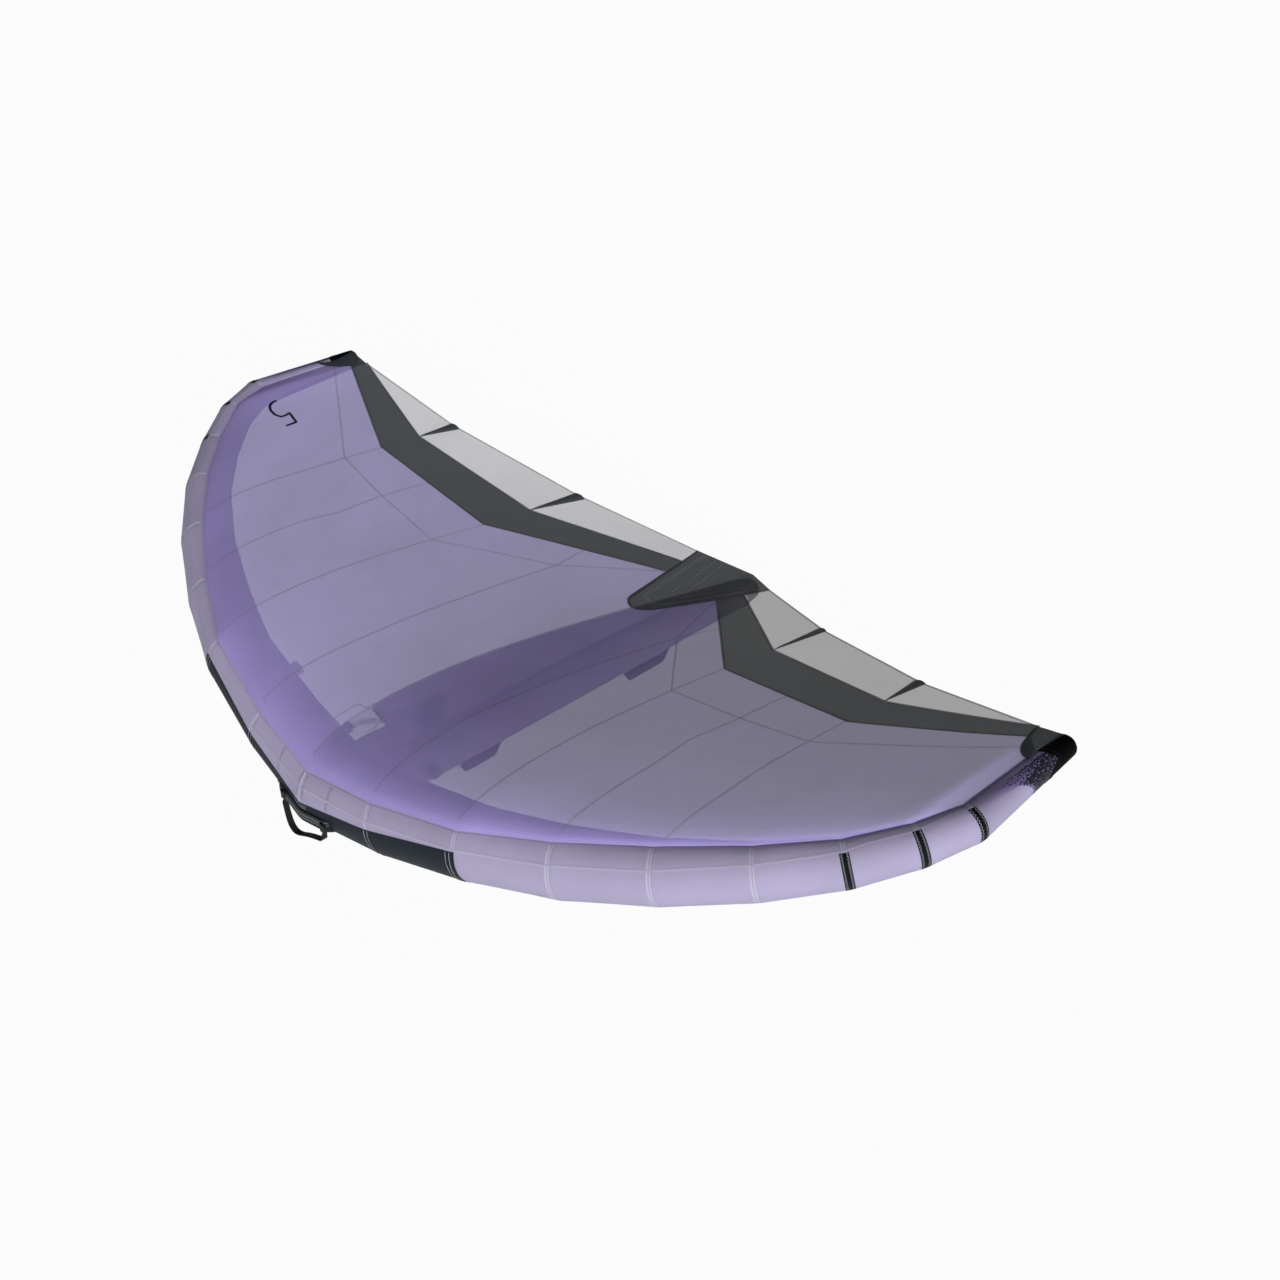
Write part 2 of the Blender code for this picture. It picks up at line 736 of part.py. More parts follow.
def build_canopy():
    main = main_panel_grid()
    chevron = chevron_grid()
    pale = te_band_grid()
    for side, shape in (("right", list), ("left", mirror_grid)):
        for name, grid, finish in (("canopy_" + side, main, "lavender_cloth"),
                                   ("chevron_band_" + side, chevron, "dark_cloth"),
                                   ("trailing_edge_band_" + side, pale, "pale_cloth")):
            placed = shape(grid)
            slab(name, placed, raised(placed, CANOPY_CLOTH), finish)
        tip = shape(tip_patch_grid())
        slab("tip_patch_" + side, tip, raised(tip, CANOPY_CLOTH), "dark_cloth")
    build_battens(pale)


def tip_patch_grid():
    """Small panel between the two bands' ends and the tube."""
    front = [lift_plan(LOW_POINTS[-1]), tube_point(TIP_EDGE_STATION, 0, LAP_GAP)]
    rear = [lift_plan(HIGH_POINTS[-1]), tube_point(TIP_END_STATION, 0, LAP_GAP)]
    grid = [[near, between(near, far, 0.5), far] for near, far in zip(front, rear)]
    return inset_grid(grid, rear=False, end=False)


def build_battens(pale):
    base = CANOPY_CLOTH + LAP_GAP
    for number, place in enumerate(BATTEN_NAMES):
        start = pocket_columns(number)
        columns = [column[1:] for column in pale[start:start + 3]]
        lower = raised(columns, base)
        lower[1] = [point + Vector((0.0, 0.0, POCKET_HEIGHT)) for point in lower[1]]
        upper = raised(lower, PATCH_CLOTH)
        left = [between(mid, side, BATTEN_WIDTH_SHARE) for mid, side in zip(columns[1], columns[0])]
        right = [between(mid, side, BATTEN_WIDTH_SHARE) for mid, side in zip(columns[1], columns[2])]
        strip = raised([left, columns[1], right], base)
        strip_top = raised(strip, BATTEN_THICKNESS)
        for side, shape in (("_right", list), ("_left", mirror_grid)):
            slab("batten_pocket_" + place + side, shape(lower), shape(upper), "dark_cloth")
            slab("batten_" + place + side, shape(strip), shape(strip_top), "batten")


def build_centre_patch():
    """Dark rounded V where both bands and the fin panel meet the trailing edge."""
    right_front = [NOSE, NOSE_ROUND, between(NOSE_ROUND, PATCH_SIDE, 0.5), PATCH_SIDE]
    corner_shares = (0.0, NOSE_ROUND.x / PATCH_SIDE.x, 0.61, 1.0)
    middle = Vector()
    right_rear = [between(middle, PATCH_CORNER, share) for share in corner_shares]
    right = loft(right_front, right_rear, (0.0, 0.3, 0.62, 1.0))
    grid = mirror_grid(right[:0:-1]) + right
    grid = inset_grid(grid, rear=False)
    flips = [True] * (len(right) - 1) + [False] * (len(right) - 1)
    slab("trailing_edge_patch", grid, raised(grid, CANOPY_CLOTH), "dark_cloth", flips)


# Strut

STRUT_Y = [-CHORD * share for share in STRUT_Y_SHARES]
STRUT_Z = [-STRUT_DROP * share for share in STRUT_Z_SHARES]
STRUT_R = [STRUT_RADIUS * share for share in STRUT_R_SHARES]
FACET_COS = math.cos(math.pi / STRUT_SIDES)
LE_FACET_COS = math.cos(math.pi / LE_SIDES)


def strut_at(y):
    return interpolate(STRUT_Y, STRUT_Z, y), interpolate(STRUT_Y, STRUT_R, y)


def strut_ring(y, offset):
    z, radius = strut_at(y)
    ring = []
    for step in range(STRUT_SIDES):
        turn = math.tau * (step + 0.5) / STRUT_SIDES
        ring.append(Vector(((radius + offset) * math.cos(turn), y, z + (radius + offset) * math.sin(turn))))
    return ring


def strut_flat(y, sign):
    """Height of the strut's top or bottom facet."""
    z, radius = strut_at(y)
    return z + sign * radius * FACET_COS


def strut_tube(name, ys, offset, finish, cutter=False):
    builder = bmesh.new()
    ring_tube_into(builder, [strut_ring(y, offset) for y in ys])
    return add_object(name, builder, finish, cutter=cutter)


BLADDER_INSET = TUBE_WALL + FLANGE_ROOM


def nose_cutter():
    """Middle of the leading edge, a seat gap larger, to trim what butts against it."""
    builder = bmesh.new()
    stations = [-1.0, 0.0, 1.0]
    ring_tube_into(builder, tube_rings(stations, SEAT_GAP), tube_flips(stations))
    return add_object("nose_cutter", builder, None, cutter=True)


def build_strut(nose, holes):
    casing = strut_tube("strut_casing", STRUT_Y, 0.0, "lavender_tube")
    inner_ys = STRUT_Y[:-1] + [STRUT_Y[-1] - TUBE_WALL]
    inner = strut_tube("strut_inner_cutter", [STRUT_Y[0] - CUT_OVERRUN] + inner_ys[1:], -TUBE_WALL, None,
                       cutter=True)
    cut(casing, inner)
    cut(casing, nose)
    front = JOINTS[0].y + LE_RADIUS + BLADDER_END_GAP
    ys = [front] + STRUT_Y[1:-1] + [STRUT_Y[-1] - BLADDER_END_GAP]
    ys[-2] = STRUT_Y[-2] - BLADDER_END_GAP
    bladder = strut_tube("strut_bladder", ys, -BLADDER_INSET, "film")
    core_ys = [front + FILM] + ys[1:-1] + [ys[-1] - FILM]
    core = strut_tube("strut_core_cutter", core_ys, -BLADDER_INSET - FILM, None, cutter=True)
    cut(bladder, core)
    cut(casing, holes)
    cut(bladder, holes)
    build_strut_cap()


def cap_rings(offset, dome):
    """Rings of a sleeve over the strut's rear end, closed by a dome."""
    start = -STRUT_CAP_START
    rear = STRUT_Y[-1]
    rings = [strut_ring(start, offset)]
    if start < STRUT_Y[-2]:
        rings.append(strut_ring(STRUT_Y[-2], offset))
    rings.append(strut_ring(rear, offset))
    z, radius = strut_at(rear)
    flat = [Vector((0.0, rear, z)) + (spot - Vector((0.0, rear, z))) * 0.7 for spot in rings[-1]]
    shift = Vector((0.0, dome, 0.0))
    rings.append([spot + shift * 0.75 for spot in flat])
    rings.append([Vector((0.0, rear + dome, z))])
    return rings


def build_strut_cap():
    builder = bmesh.new()
    outer = cap_rings(SEAT_GAP + STRUT_CAP_WALL, STRUT_CAP_DOME)
    inner = cap_rings(SEAT_GAP, SEAT_GAP * 2.0)
    rings = [outer[-1]] + outer[-2::-1] + inner
    ring_tube_into(builder, rings)
    add_object("strut_end_cap", builder, "black_cloth")


def build_fin():
    """Upright panel between the strut and the canopy's centre seam."""
    nose_steps = []
    for step in range(LE_SIDES // 2):
        spot = ring_point(0, step, FIN_CLEARANCE)
        if spot.z > strut_flat(spot.y, 1.0) + FIN_CLEARANCE and spot.y > JOINTS[0].y:
            nose_steps.append(spot)
    lowest = nose_steps[-1]
    rear_y = -STRUT_CAP_START - FIN_CLEARANCE * 2.0
    front_y = lowest.y
    lower = []
    upper = []
    first = nose_steps[0]
    over_y = first.y
    for spot in nose_steps:
        lower.append(spot.copy())
        upper.append(None)
    ys = [between(front_y, rear_y, (row + 1) / FIN_ROWS) for row in range(FIN_ROWS)]
    for y in STRUT_Y[1:-1]:
        if front_y < y < rear_y:
            ys.append(y)
    ys.sort()
    bottom = Vector((0.0, front_y + FIN_CLEARANCE, strut_flat(front_y, 1.0) + FIN_CLEARANCE))
    lower.append(bottom)
    upper.append(None)
    lower += [Vector((0.0, y, strut_flat(y, 1.0) + SEAT_GAP * 1.5)) for y in ys]
    upper += [None] * len(ys)
    for index, spot in enumerate(lower):
        share = index / (len(lower) - 1)
        y = between(over_y, rear_y, share)
        upper[index] = Vector((0.0, y, fin_top(y)))
    half = Vector((FIN_CLOTH * 0.5, 0.0, 0.0))
    right = [[spot + half for spot in (low, high)] for low, high in zip(lower, upper)]
    left = [[spot - half for spot in (low, high)] for low, high in zip(lower, upper)]
    slab("fin_panel", left, right, "lavender_cloth")


def fin_top(y):
    """Just under the canopy's centre seam, on the straight runs between its rows."""
    front = SEAM_LINE[0].y
    rows_y = [between(front, NOSE.y, share) for share in CHORD_ROW_SHARES]
    rows_y += [between(NOSE.y, 0.0, share) for share in (0.3, 0.62, 1.0)]
    rows_z = [canopy_point(0.0, row).z for row in rows_y]
    return interpolate(rows_y, rows_z, y) - FIN_CLEARANCE


# Leading edge pieces

def build_leading_edge(holes):
    casing = le_tube("leading_edge_casing", 0.0, "lavender_tube")
    cut(casing, le_tube("le_inner_cutter", -TUBE_WALL, None, cutter=True))
    bladder = le_tube("leading_edge_bladder", -BLADDER_INSET, "film", every=2)
    cut(bladder, le_tube("le_core_cutter", -BLADDER_INSET - FILM, None, every=2, cutter=True))
    cut(casing, holes)
    cut(bladder, holes)


def build_reinforcements():
    stations = [-2.0, -1.0, 0.0, 1.0, 2.0]
    lower, upper = tube_skin_grids(stations, -SCUFF_LOW_STEPS, -SCUFF_HIGH_STEPS, LAP_GAP, PATCH_CLOTH)
    slab("nose_scuff_patch", lower, upper, "black_cloth", tube_flips(stations))
    for side, shape in (("right", list), ("left", mirror_grid)):
        build_tip_cap(side, shape)


def build_tip_cap(side, shape):
    """Sleeve round the outer side of the tip, closed over its end."""
    steps = range(-TIP_CAP_STEPS, 1)
    stations = [TIP_CAP_START_STATION, float(LAST)]
    lift = LAP_GAP

    def column(step, offset):
        rim = [tube_point(station, step, offset) for station in stations]
        hub = dome_point(1, offset)
        return rim + [between(rim[-1], hub, 0.995)]

    lower = [column(step, lift) for step in steps]
    upper = [column(step, lift + TIP_CAP_WALL) for step in steps]
    # The sleeve stops short of the canopy's edge on the seam
    for grid in (lower, upper):
        for near, far in zip(grid[-1], grid[-2]):
            near += (far - near) * 0.25
    slab("tip_cap_" + side, shape(lower), shape(upper), "black_cloth")


# Front handle

def front_handle_levels():
    scuff_top = LAP_GAP + PATCH_CLOTH
    pad_low = scuff_top + LAP_GAP
    return pad_low, pad_low + PAD_THICKNESS


def hinge_line():
    """Where the webbing loop hangs from its two stitched tabs."""
    pad_low, pad_top = front_handle_levels()
    station = LOOP_HALF / JOINTS[1].x
    high = tube_point(station, -PAD_HIGH_STEPS, pad_top)
    low = tube_point(station, -PAD_HIGH_STEPS - 1, pad_top)
    front = min(high.y, low.y) - SEAT_GAP - TAB_DEPTH * 0.5
    tab_low = low.z - SEAT_GAP
    radius = LOOP_WIDTH * 0.5
    return Vector((0.0, front, tab_low - radius - HINGE_RUNNING_GAP)), tab_low


def build_front_handle():
    pad_low, pad_top = front_handle_levels()
    stations = [-PAD_HALF_SHARE, 0.0, PAD_HALF_SHARE]
    lower, upper = tube_skin_grids(stations, -PAD_HIGH_STEPS - 1, -PAD_HIGH_STEPS, pad_low, PAD_THICKNESS)
    slab("nose_handle_pad", lower, upper, "foam", tube_flips(stations))
    pivot, tab_low = hinge_line()
    half = Vector((TAB_WIDTH, TAB_DEPTH, 0.0)) * 0.5
    for name, side in (("left", -1.0), ("right", 1.0)):
        placing = Matrix.Translation(Vector((side * LOOP_HALF, pivot.y, tab_low)))
        block("nose_handle_tab_" + name, placing, -half, half + Vector((0.0, 0.0, TAB_HEIGHT)), "webbing")
    build_front_loop(pivot)


def build_front_loop(pivot):
    """Webbing loop that swings on the tabs; its ends are round about the hinge line."""
    radius = LOOP_WIDTH * 0.5
    path = []
    widths = []
    top_shares = (0.97, 0.8, 0.45)
    for share in top_shares:
        path.append(pivot + Vector((-LOOP_HALF, 0.0, radius * share)))
        widths.append(radius * math.sqrt(1.0 - share * share))
    for x_share, z_share in zip(LOOP_X_SHARES, LOOP_Z_SHARES):
        path.append(pivot + Vector((LOOP_HALF * x_share, 0.0, LOOP_DROP * z_share)))
        widths.append(radius)
    for share in reversed(top_shares):
        path.append(pivot + Vector((LOOP_HALF, 0.0, radius * share)))
        widths.append(radius * math.sqrt(1.0 - share * share))
    builder = bmesh.new()
    band_into(builder, path, (0.0, 1.0, 0.0), widths, LOOP_THICKNESS)
    add_object("nose_handle_loop", builder, "webbing", pivot)


# Strut handles

def build_strut_handles():
    for name, place, length in zip(HANDLE_NAMES, HANDLE_PLACE_SHARES, GRIP_LENGTHS):
        build_strut_handle(name, -CHORD * place, length)


def strap_foot(y):
    """Middle of the strap where it is sewn through its patch to the strut."""
    depth = SEAT_GAP + PATCH_CLOTH + SEAT_GAP + STRAP_THICKNESS * 0.5
    return Vector((0.0, y, strut_flat(y, -1.0) - depth))


def build_strut_handle(name, middle, length):
    half = length * 0.5
    depth = strut_flat(middle, -1.0) - HAND_GAP - GRIP_RADIUS
    inner = half + STRAP_SLOPE_RUN
    outer = inner + STRAP_FOOT
    path = [strap_foot(middle - outer), strap_foot(middle - inner)]
    path += [Vector((0.0, middle - half - CUT_OVERRUN, depth)), Vector((0.0, middle, depth)),
             Vector((0.0, middle + half + CUT_OVERRUN, depth))]
    path += [strap_foot(middle + inner), strap_foot(middle + outer)]
    builder = bmesh.new()
    widths = [STRAP_WIDTH * 0.5] * len(path)
    band_into(builder, path, (1.0, 0.0, 0.0), widths, STRAP_THICKNESS)
    add_object(name + "_handle_strap", builder, "webbing")
    placing = frame_at((0.0, middle, depth), (0.0, 1.0, 0.0), (1.0, 0.0, 0.0))
    grip = turned(name + "_handle_grip", disc_profile(GRIP_RADIUS, -half, half), GRIP_SIDES, placing, "foam")
    slot_half = Vector((STRAP_WIDTH, STRAP_THICKNESS, length)) * 0.5
    slot_half += Vector((SEAT_GAP, SEAT_GAP, CUT_OVERRUN))
    slot = block(name + "_grip_slot_cutter", placing, -slot_half, slot_half, None, cutter=True)
    cut(grip, slot)
    for end, sign in (("fore", -1.0), ("aft", 1.0)):
        centre = middle + sign * (inner + STRAP_FOOT * 0.5)
        spot = Vector((0.0, centre, strut_flat(centre, -1.0) - SEAT_GAP))
        slope = strap_foot(centre + MM) - strap_foot(centre - MM)
        plate = frame_at(spot, (0.0, slope.z, -slope.y), slope)
        half_x = ANCHOR_PATCH_LENGTH * 0.5
        half_y = ANCHOR_PATCH_WIDTH * 0.5
        block(name + "_handle_patch_" + end, plate, (-half_x, -half_y, 0.0),
              (half_x, half_y, PATCH_CLOTH), "black_cloth")


# Valves

def port_cutter(name, valve, hose_port):
    """Round holes through casing and bladder, for a valve and for the hose."""
    depth = BLADDER_INSET + FILM + CUT_OVERRUN
    builder = bmesh.new()
    for placing, radius in ((valve, BARREL_RADIUS + VALVE_CLEARANCE), (hose_port, HOSE_RADIUS - TUBE_WALL)):
        turned_into(builder, disc_profile(radius, -depth, CUT_OVERRUN), VALVE_SIDES, placing)
    return add_object(name, builder, None, cutter=True)


def build_valve(prefix, placing):
    """Flanged barrel with a screw collar and a hinged cap. Local Z is outward, X towards the hinge."""
    flange_low = -BLADDER_INSET + SEAT_GAP
    flange_high = flange_low + FLANGE_THICKNESS
    profile = [(BORE_RADIUS, flange_low), (FLANGE_RADIUS, flange_low), (FLANGE_RADIUS, flange_high),
               (BARREL_RADIUS, flange_high), (BARREL_RADIUS, BARREL_HEIGHT), (BORE_RADIUS, BARREL_HEIGHT)]
    turned(prefix + "_valve_body", profile, VALVE_SIDES, placing, "plastic")
    collar_inner = BARREL_RADIUS + SEAT_GAP
    builder = bmesh.new()
    turned_into(builder, ring_profile(collar_inner, COLLAR_RADIUS, SEAT_GAP, SEAT_GAP + COLLAR_THICKNESS),
                VALVE_SIDES, placing)
    collar = add_object(prefix + "_valve_collar", builder, "plastic")
    hinge_height = BARREL_HEIGHT - CAP_RIM * 0.5
    ears = bmesh.new()
    ear_gap = KNUCKLE_LENGTH * 0.5 + HINGE_RUNNING_GAP
    for side in (-1.0, 1.0):
        near = side * ear_gap
        far = side * (ear_gap + EAR_THICKNESS)
        low = (COLLAR_RADIUS - EAR_THICKNESS, min(near, far), SEAT_GAP)
        high = (CAP_HINGE_REACH + HINGE_KNUCKLE_RADIUS, max(near, far), hinge_height + HINGE_KNUCKLE_RADIUS)
        block_into(ears, placing, low, high)
    ears_tool = add_object(prefix + "_ears_cutter", ears, None, cutter=True)
    cut(collar, ears_tool, 'UNION')
    hinge_spot = placing @ Vector((CAP_HINGE_REACH, 0.0, hinge_height))
    across = placing.to_3x3() @ Vector((0.0, 1.0, 0.0))
    hinge_frame = frame_at(hinge_spot, across, placing.to_3x3() @ Vector((1.0, 0.0, 0.0)))
    pin_half = ear_gap + EAR_THICKNESS
    bore = turned(prefix + "_ear_bore_cutter",
                  disc_profile(HINGE_PIN_RADIUS + HINGE_RUNNING_GAP, -pin_half - CUT_OVERRUN,
                               pin_half + CUT_OVERRUN), 10, hinge_frame, None, cutter=True)
    cut(collar, bore)
    turned(prefix + "_cap_pin", disc_profile(HINGE_PIN_RADIUS, -pin_half, pin_half), 8, hinge_frame, "steel")
    build_valve_cap(prefix, placing, hinge_frame, hinge_spot, bore)
    return hinge_spot, across


def build_valve_cap(prefix, placing, hinge_frame, hinge_spot, bore):
    low = BARREL_HEIGHT + SEAT_GAP
    inner = BARREL_RADIUS + VALVE_CLEARANCE
    outer = inner + CAP_WALL
    profile = [(0.0, low), (inner, low), (inner, low - CAP_RIM), (outer, low - CAP_RIM),
               (outer, low + CAP_THICKNESS), (0.0, low + CAP_THICKNESS)]
    cap = turned(prefix + "_valve_cap", profile, VALVE_SIDES, placing, "plastic", hinge_spot)
    arm = bmesh.new()
    half = KNUCKLE_LENGTH * 0.5
    hinge_height = BARREL_HEIGHT - CAP_RIM * 0.5
    block_into(arm, placing, (outer - CAP_WALL * 0.5, -half, hinge_height - HINGE_KNUCKLE_RADIUS),
               (CAP_HINGE_REACH + HINGE_KNUCKLE_RADIUS, half, hinge_height + HINGE_KNUCKLE_RADIUS))
    arm_tool = add_object(prefix + "_arm_cutter", arm, None, cutter=True)
    cut(cap, arm_tool, 'UNION')
    cut(cap, bore)


def build_plunger(prefix, placing):
    """Push-open seal: a disc under the flange, drawn shut by a spring on its stem."""
    flange_low = -BLADDER_INSET + SEAT_GAP
    disc_high = flange_low - SEAT_GAP
    button_high = BARREL_HEIGHT - BUTTON_DEPTH
    button_low = button_high - BUTTON_THICKNESS
    profile = [(0.0, disc_high - PLUNGER_DISC_THICKNESS),
               (PLUNGER_DISC_RADIUS, disc_high - PLUNGER_DISC_THICKNESS), (PLUNGER_DISC_RADIUS, disc_high),
               (STEM_RADIUS, disc_high), (STEM_RADIUS, button_low), (BUTTON_RADIUS, button_low),
               (BUTTON_RADIUS, button_high), (0.0, button_high)]
    turned(prefix + "_valve_plunger", profile, 12, placing, "plastic", placing.translation)
    guide_high = BARREL_HEIGHT - GUIDE_DEPTH
    guide_low = guide_high - GUIDE_THICKNESS
    reach = math.sqrt(BORE_RADIUS ** 2 - (GUIDE_WIDTH * 0.5) ** 2) * math.cos(math.pi / VALVE_SIDES)
    reach -= SEAT_GAP
    guide = block(prefix + "_valve_guide", placing, (-reach, -GUIDE_WIDTH * 0.5, guide_low),
                  (reach, GUIDE_WIDTH * 0.5, guide_high), "plastic")
    hole = turned(prefix + "_guide_cutter", disc_profile(STEM_RADIUS + HINGE_RUNNING_GAP,
                  guide_low - CUT_OVERRUN, guide_high + CUT_OVERRUN), 12, placing, None, cutter=True)
    cut(guide, hole)
    builder = bmesh.new()
    low = guide_high + SEAT_GAP + SPRING_WIRE
    high = button_low - SEAT_GAP - SPRING_WIRE
    path = []
    per_turn = 9
    for index in range(SPRING_TURNS * per_turn + 1):
        turn = math.tau * index / per_turn
        height = between(low, high, index / (SPRING_TURNS * per_turn))
        path.append(placing @ Vector((SPRING_RADIUS * math.cos(turn), SPRING_RADIUS * math.sin(turn), height)))
    round_tube_into(builder, path, SPRING_WIRE, 4, placing.to_3x3() @ Vector((0.0, 0.0, 1.0)))
    add_object(prefix + "_valve_spring", builder, "steel")


def inflate_frame():
    y = -CHORD * INFLATE_PLACE_SHARE
    z, radius = strut_at(y)
    return frame_at((radius * FACET_COS, y, z), (1.0, 0.0, 0.0), (0.0, 0.0, 1.0))


BACK_FACET = 7


def deflate_frame():
    spot, outward, onward = facet_frame(-DEFLATE_STATION, BACK_FACET - 1)
    return frame_at(spot, outward, (0.0, 0.0, 1.0))


# Hose

def hose_port_frames():
    spot, outward, onward = facet_frame(-HOSE_STATION, BACK_FACET)
    on_tube = frame_at(spot, outward, (0.0, 0.0, 1.0))
    y = -CHORD * STRUT_PORT_SHARE
    z, radius = strut_at(y)
    on_strut = frame_at((-radius * FACET_COS, y, z), (-1.0, 0.0, 0.0), (0.0, 0.0, 1.0))
    return on_tube, on_strut


def build_hose(frames):
    neck = SEAT_GAP + PORT_FLANGE_THICKNESS + PORT_NECK_LENGTH
    profile = [(HOSE_RADIUS - TUBE_WALL, SEAT_GAP), (PORT_FLANGE_RADIUS, SEAT_GAP),
               (PORT_FLANGE_RADIUS, SEAT_GAP + PORT_FLANGE_THICKNESS),
               (PORT_NECK_RADIUS, SEAT_GAP + PORT_FLANGE_THICKNESS), (PORT_NECK_RADIUS, neck),
               (HOSE_RADIUS - TUBE_WALL, neck)]
    for name, placing in zip(("leading_edge_port", "strut_port"), frames):
        turned(name, profile, VALVE_SIDES, placing, "plastic")
    ends = [placing @ Vector((0.0, 0.0, neck + SEAT_GAP)) for placing in frames]
    outs = [placing.to_3x3() @ Vector((0.0, 0.0, 1.0)) for placing in frames]
    straight = CLAMP_OFFSET + CLAMP_LENGTH - neck
    start = ends[0] + outs[0] * straight
    finish = ends[1] + outs[1] * (HOSE_RADIUS + HOSE_RADIUS)
    curve = bezier(start, start + outs[0] * HOSE_REACH * 0.75, finish + outs[1] * HOSE_REACH * 0.75, finish,
                   HOSE_POINTS)
    path = [ends[0]] + curve + [ends[1]]
    outer = bmesh.new()
    round_tube_into(outer, path, HOSE_RADIUS, HOSE_SIDES, (0.0, 0.0, 1.0))
    hose = add_object("transfer_hose", outer, "film")
    bore_path = [ends[0] - outs[0] * CUT_OVERRUN] + curve[::3] + [ends[1] - outs[1] * CUT_OVERRUN]
    bore = bmesh.new()
    round_tube_into(bore, bore_path, HOSE_RADIUS - TUBE_WALL, 6, (0.0, 0.0, 1.0))
    cut(hose, add_object("hose_bore_cutter", bore, None, cutter=True))


def build_clamp(on_tube):
    """Pinch clamp round the hose: a channel with one open side and a hinged lever over it."""
    middle = SEAT_GAP + PORT_FLANGE_THICKNESS + CLAMP_OFFSET
    placing = on_tube @ Matrix.Translation((0.0, 0.0, middle))
    gap = HOSE_RADIUS + SEAT_GAP
    half = CLAMP_LENGTH * 0.5
    builder = bmesh.new()
    outline = [(-gap - CLAMP_PLATE, -CLAMP_HALF), (gap + CLAMP_PLATE, -CLAMP_HALF),
               (gap + CLAMP_PLATE, -CLAMP_HALF + CLAMP_PLATE), (-gap, -CLAMP_HALF + CLAMP_PLATE),
               (-gap, CLAMP_HALF), (-gap - CLAMP_PLATE, CLAMP_HALF)]
    rings = [[placing @ Vector((x, y, z)) for x, y in outline] for z in (-half, half)]
    ring_tube_into(builder, rings)
    add_object("hose_clamp_body", builder, "plastic")
    pivot_height = CLAMP_PLATE * 1.5 - CLAMP_HALF + HINGE_RUNNING_GAP
    pivot = placing @ Vector((gap + CLAMP_PLATE * 0.5, pivot_height, 0.0))
    round_end = []
    for step in range(LEVER_END_STEPS + 1):
        turn = math.pi + math.pi * step / LEVER_END_STEPS
        across = gap + CLAMP_PLATE * 0.5 * (1.0 + math.cos(turn))
        round_end.append((across, pivot_height + CLAMP_PLATE * 0.5 * math.sin(turn)))
    top = CLAMP_HALF + LEVER_OVERHANG
    outline = round_end + [(gap + CLAMP_PLATE, top), (gap, top)]
    lever = bmesh.new()
    rings = [[placing @ Vector((x, y, z)) for x, y in outline] for z in (-half, half)]
    ring_tube_into(lever, rings)
    add_object("hose_clamp_lever", lever, "plastic", pivot)


# Zips

def build_zip(name, placing, length, tape):
    """Teeth joined to the tape, and a slider with its pull tab. X runs along the zip, on the tape."""
    half = ZIP_TEETH_WIDTH * 0.5
    teeth = block(name + "_teeth_cutter", placing, (0.0, -half, -PATCH_CLOTH * 0.5),
                  (length, half, ZIP_TEETH_HEIGHT), None, cutter=True)
    cut(tape, teeth, 'UNION')
    start = placing @ Matrix.Translation((PULL_LENGTH * 0.5, 0.0, ZIP_TEETH_HEIGHT + SEAT_GAP))
    half = SLIDER_WIDTH * 0.5
    slider = block(name + "_slider", start, (0.0, -half, 0.0), (SLIDER_LENGTH, half, SLIDER_HEIGHT),
                   "steel", start.translation)
    half = PULL_WIDTH * 0.5
    pull = block(name + "_pull_cutter", start, (-PULL_LENGTH * 0.5, -half, SLIDER_HEIGHT - PULL_THICKNESS),
                 (PULL_LENGTH * 0.5, half, SLIDER_HEIGHT + PULL_THICKNESS), None, cutter=True)
    cut(slider, pull, 'UNION')


def build_le_zip():
    first, last = ZIP_STATIONS
    lower, upper = tube_skin_grids(list(ZIP_STATIONS), ZIP_FACET, ZIP_FACET + 1, LAP_GAP, PATCH_CLOTH)
    tape = slab("leading_edge_zip", lower, upper, "black_cloth")
    spot, outward, onward = facet_frame(first, ZIP_FACET)
    end, end_outward, end_onward = facet_frame(last, ZIP_FACET)
    placing = frame_at(spot + outward * (LAP_GAP + PATCH_CLOTH), outward, onward)
    build_zip("leading_edge_zip", placing, (end - spot).length, tape)


def build_strut_zip():
    """On the strut's lower left facet."""
    ys = [-CHORD * share for share in STRUT_ZIP_SHARES]
    turn = math.radians(225.0)
    outward = Vector((math.cos(turn), 0.0, math.sin(turn)))
    spots = []
    for y in ys:
        z, radius = strut_at(y)
        spots.append(Vector((0.0, y, z)) + outward * (radius * FACET_COS + LAP_GAP))
    onward = spots[1] - spots[0]
    placing = frame_at(spots[0], outward - onward * (outward.dot(onward) / onward.length_squared), onward)
    half = STRUT_ZIP_WIDTH * 0.5
    tape = block("strut_zip", placing, (0.0, -half, 0.0), (onward.length, half, PATCH_CLOTH), "black_cloth")
    on_tape = placing @ Matrix.Translation((0.0, 0.0, PATCH_CLOTH))
    build_zip("strut_zip", on_tape, onward.length, tape)


# Assembly

def settle():
    """Move the finished wing so that its origin is the bottom centre of its box."""
    bpy.context.view_layer.update()
    shown = [item for item in bpy.data.objects if not item.hide_render]
    depsgraph = bpy.context.evaluated_depsgraph_get()
    spots = []
    for item in shown:
        solid = item.evaluated_get(depsgraph)
        mesh = solid.to_mesh()
        spots += [solid.matrix_world @ vertex.co for vertex in mesh.vertices]
        solid.to_mesh_clear()
    low = Vector([min(spot[axis] for spot in spots) for axis in range(3)])
    high = Vector([max(spot[axis] for spot in spots) for axis in range(3)])
    middle = (low + high) * 0.5
    shift = Vector((-middle.x, -middle.y, -low.z))
    for item in bpy.data.objects:
        item.location += shift
    bpy.context.view_layer.update()


